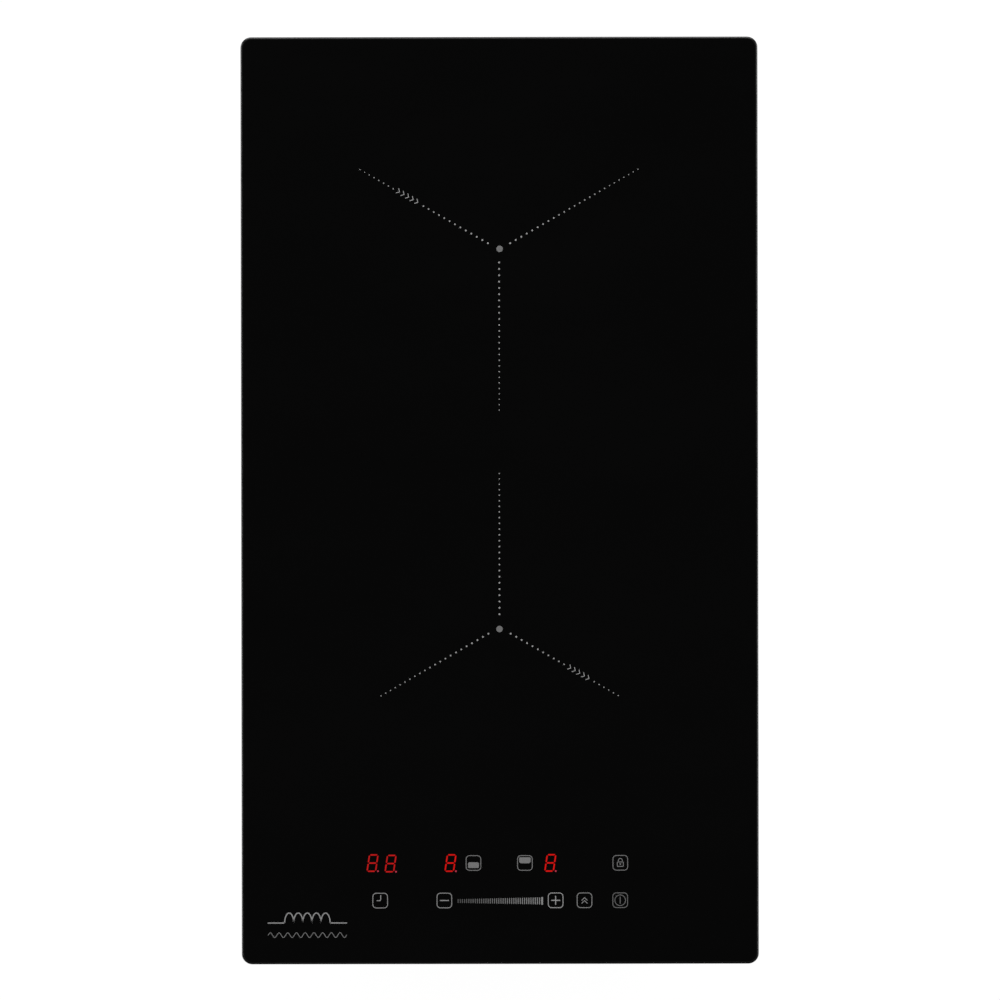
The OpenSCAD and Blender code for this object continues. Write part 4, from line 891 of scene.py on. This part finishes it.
def finish_cad_parts():
    """Gives every CAD node that stays its own procedural finish."""
    finishes = dict(NODE_FINISHES)
    for material, names in SHARED_FINISHES:
        finishes.update({name: material for name in names.split()})
    for name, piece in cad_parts.items():
        if name in finishes:
            piece.data.materials.clear()
            piece.data.materials.append(finishes[name])


# ---------------------------------------------------------------- studio


def stage_floor():
    """A pale floor that also glows a little, so that shadows on it stay faint."""
    size = 20.0
    form = Form()
    form.prism(round_rect(0, 0, size / MM, size / MM, 1 / MM), -20, 0)
    f = Finish("pale_floor", roughness=0.9, specular_ior_level=0.0)
    cloud = f.noise(f.place(), 0.7, 2.0)
    f.set(base_color=f.mix(cloud, grey(0.13), grey(0.15)), emission_color=(1, 1, 1), emission_strength=0.97)
    data = bpy.data.meshes.new("floor")
    data.from_pydata((np.concatenate(form.points) * MM).tolist(), [], form.faces)
    data.materials.append(f.material)
    floor = bpy.data.objects.new("floor", data)
    bpy.context.scene.collection.objects.link(floor)


def softbox(name, place, width, height, watts):
    """A rectangular studio light that faces the object. Places are in metres."""
    data = bpy.data.lights.new(name, "AREA")
    data.shape = "RECTANGLE"
    data.size, data.size_y, data.energy = width, height, watts
    light = bpy.data.objects.new(name, data)
    light.location = place
    light.rotation_euler = (-Vector(place)).to_track_quat("-Z", "Y").to_euler()
    bpy.context.scene.collection.objects.link(light)


def studio():
    """Low soft lights behind and beside the object, and a sky that is pale at the horizon behind it,
    dimmer in front, and dark overhead, where the flat glass would mirror it."""
    softbox("rear_softbox", (0, 2.4, 1.15), 3.0, 0.9, 30)
    softbox("left_softbox", (-2.4, 0.3, 0.8), 2.4, 0.7, 24)
    softbox("right_softbox", (2.4, 0.3, 0.8), 2.4, 0.7, 27)
    world = bpy.data.worlds.new("studio_sky")
    bpy.context.scene.world = world
    world.use_nodes = True
    nodes, links = world.node_tree.nodes, world.node_tree.links
    way = nodes.new("ShaderNodeTexCoord")
    part = nodes.new("ShaderNodeSeparateXYZ")
    links.new(way.outputs["Generated"], part.inputs[0])
    ramp = nodes.new("ShaderNodeValToRGB")
    stops = [(0.0, 0.98), (0.06, 0.95), (0.22, 0.42), (0.5, 0.10), (0.75, 0.04), (1.0, 0.035)]
    while len(ramp.color_ramp.elements) < len(stops):
        ramp.color_ramp.elements.new(0.5)
    for element, (height, level) in zip(ramp.color_ramp.elements, stops):
        element.position = height
        element.color = (level, level, level, 1)
    links.new(part.outputs["Z"], ramp.inputs["Fac"])
    links.new(ramp.outputs["Color"], nodes["Background"].inputs["Color"])
    front = nodes.new("ShaderNodeMapRange")
    links.new(part.outputs["Y"], front.inputs["Value"])
    for name, value in (("From Min", -0.85), ("From Max", -0.1), ("To Min", 0.12), ("To Max", 1.0)):
        front.inputs[name].default_value = value
    links.new(front.outputs["Result"], nodes["Background"].inputs["Strength"])


def camera():
    """Straight above the glass, through a long lens, with the rear edge at the top."""
    data = bpy.data.cameras.new("camera")
    data.lens, data.sensor_width = 200, 36
    seen = 0.5608  # metres across the view, at the top of the glass
    aside = (0.0002, 0.00025)
    roll = math.radians(-0.09)
    away = seen / data.sensor_width * data.lens
    data.clip_end = 100
    view = bpy.data.objects.new("camera", data)
    view.location = (*aside, INK_TOP * MM + away)
    view.rotation_euler = (0, 0, roll)
    bpy.context.scene.collection.objects.link(view)
    bpy.context.scene.camera = view
    bpy.context.scene.view_settings.view_transform = "Standard"
    bpy.context.scene.view_settings.look = "None"


camera()
studio()
stage_floor()
glass_panel()
zone_marks()
printed_keys()
slider_bars()
coil_emblem()
lit_digits()
support_springs(STEEL)
touch_springs(STEEL)
winding("rear_winding")
winding("front_winding")
wound_rings("chokes", "choke")
wound_rings("filter_choke", "filter", 1.0, 20)
finish_cad_parts()
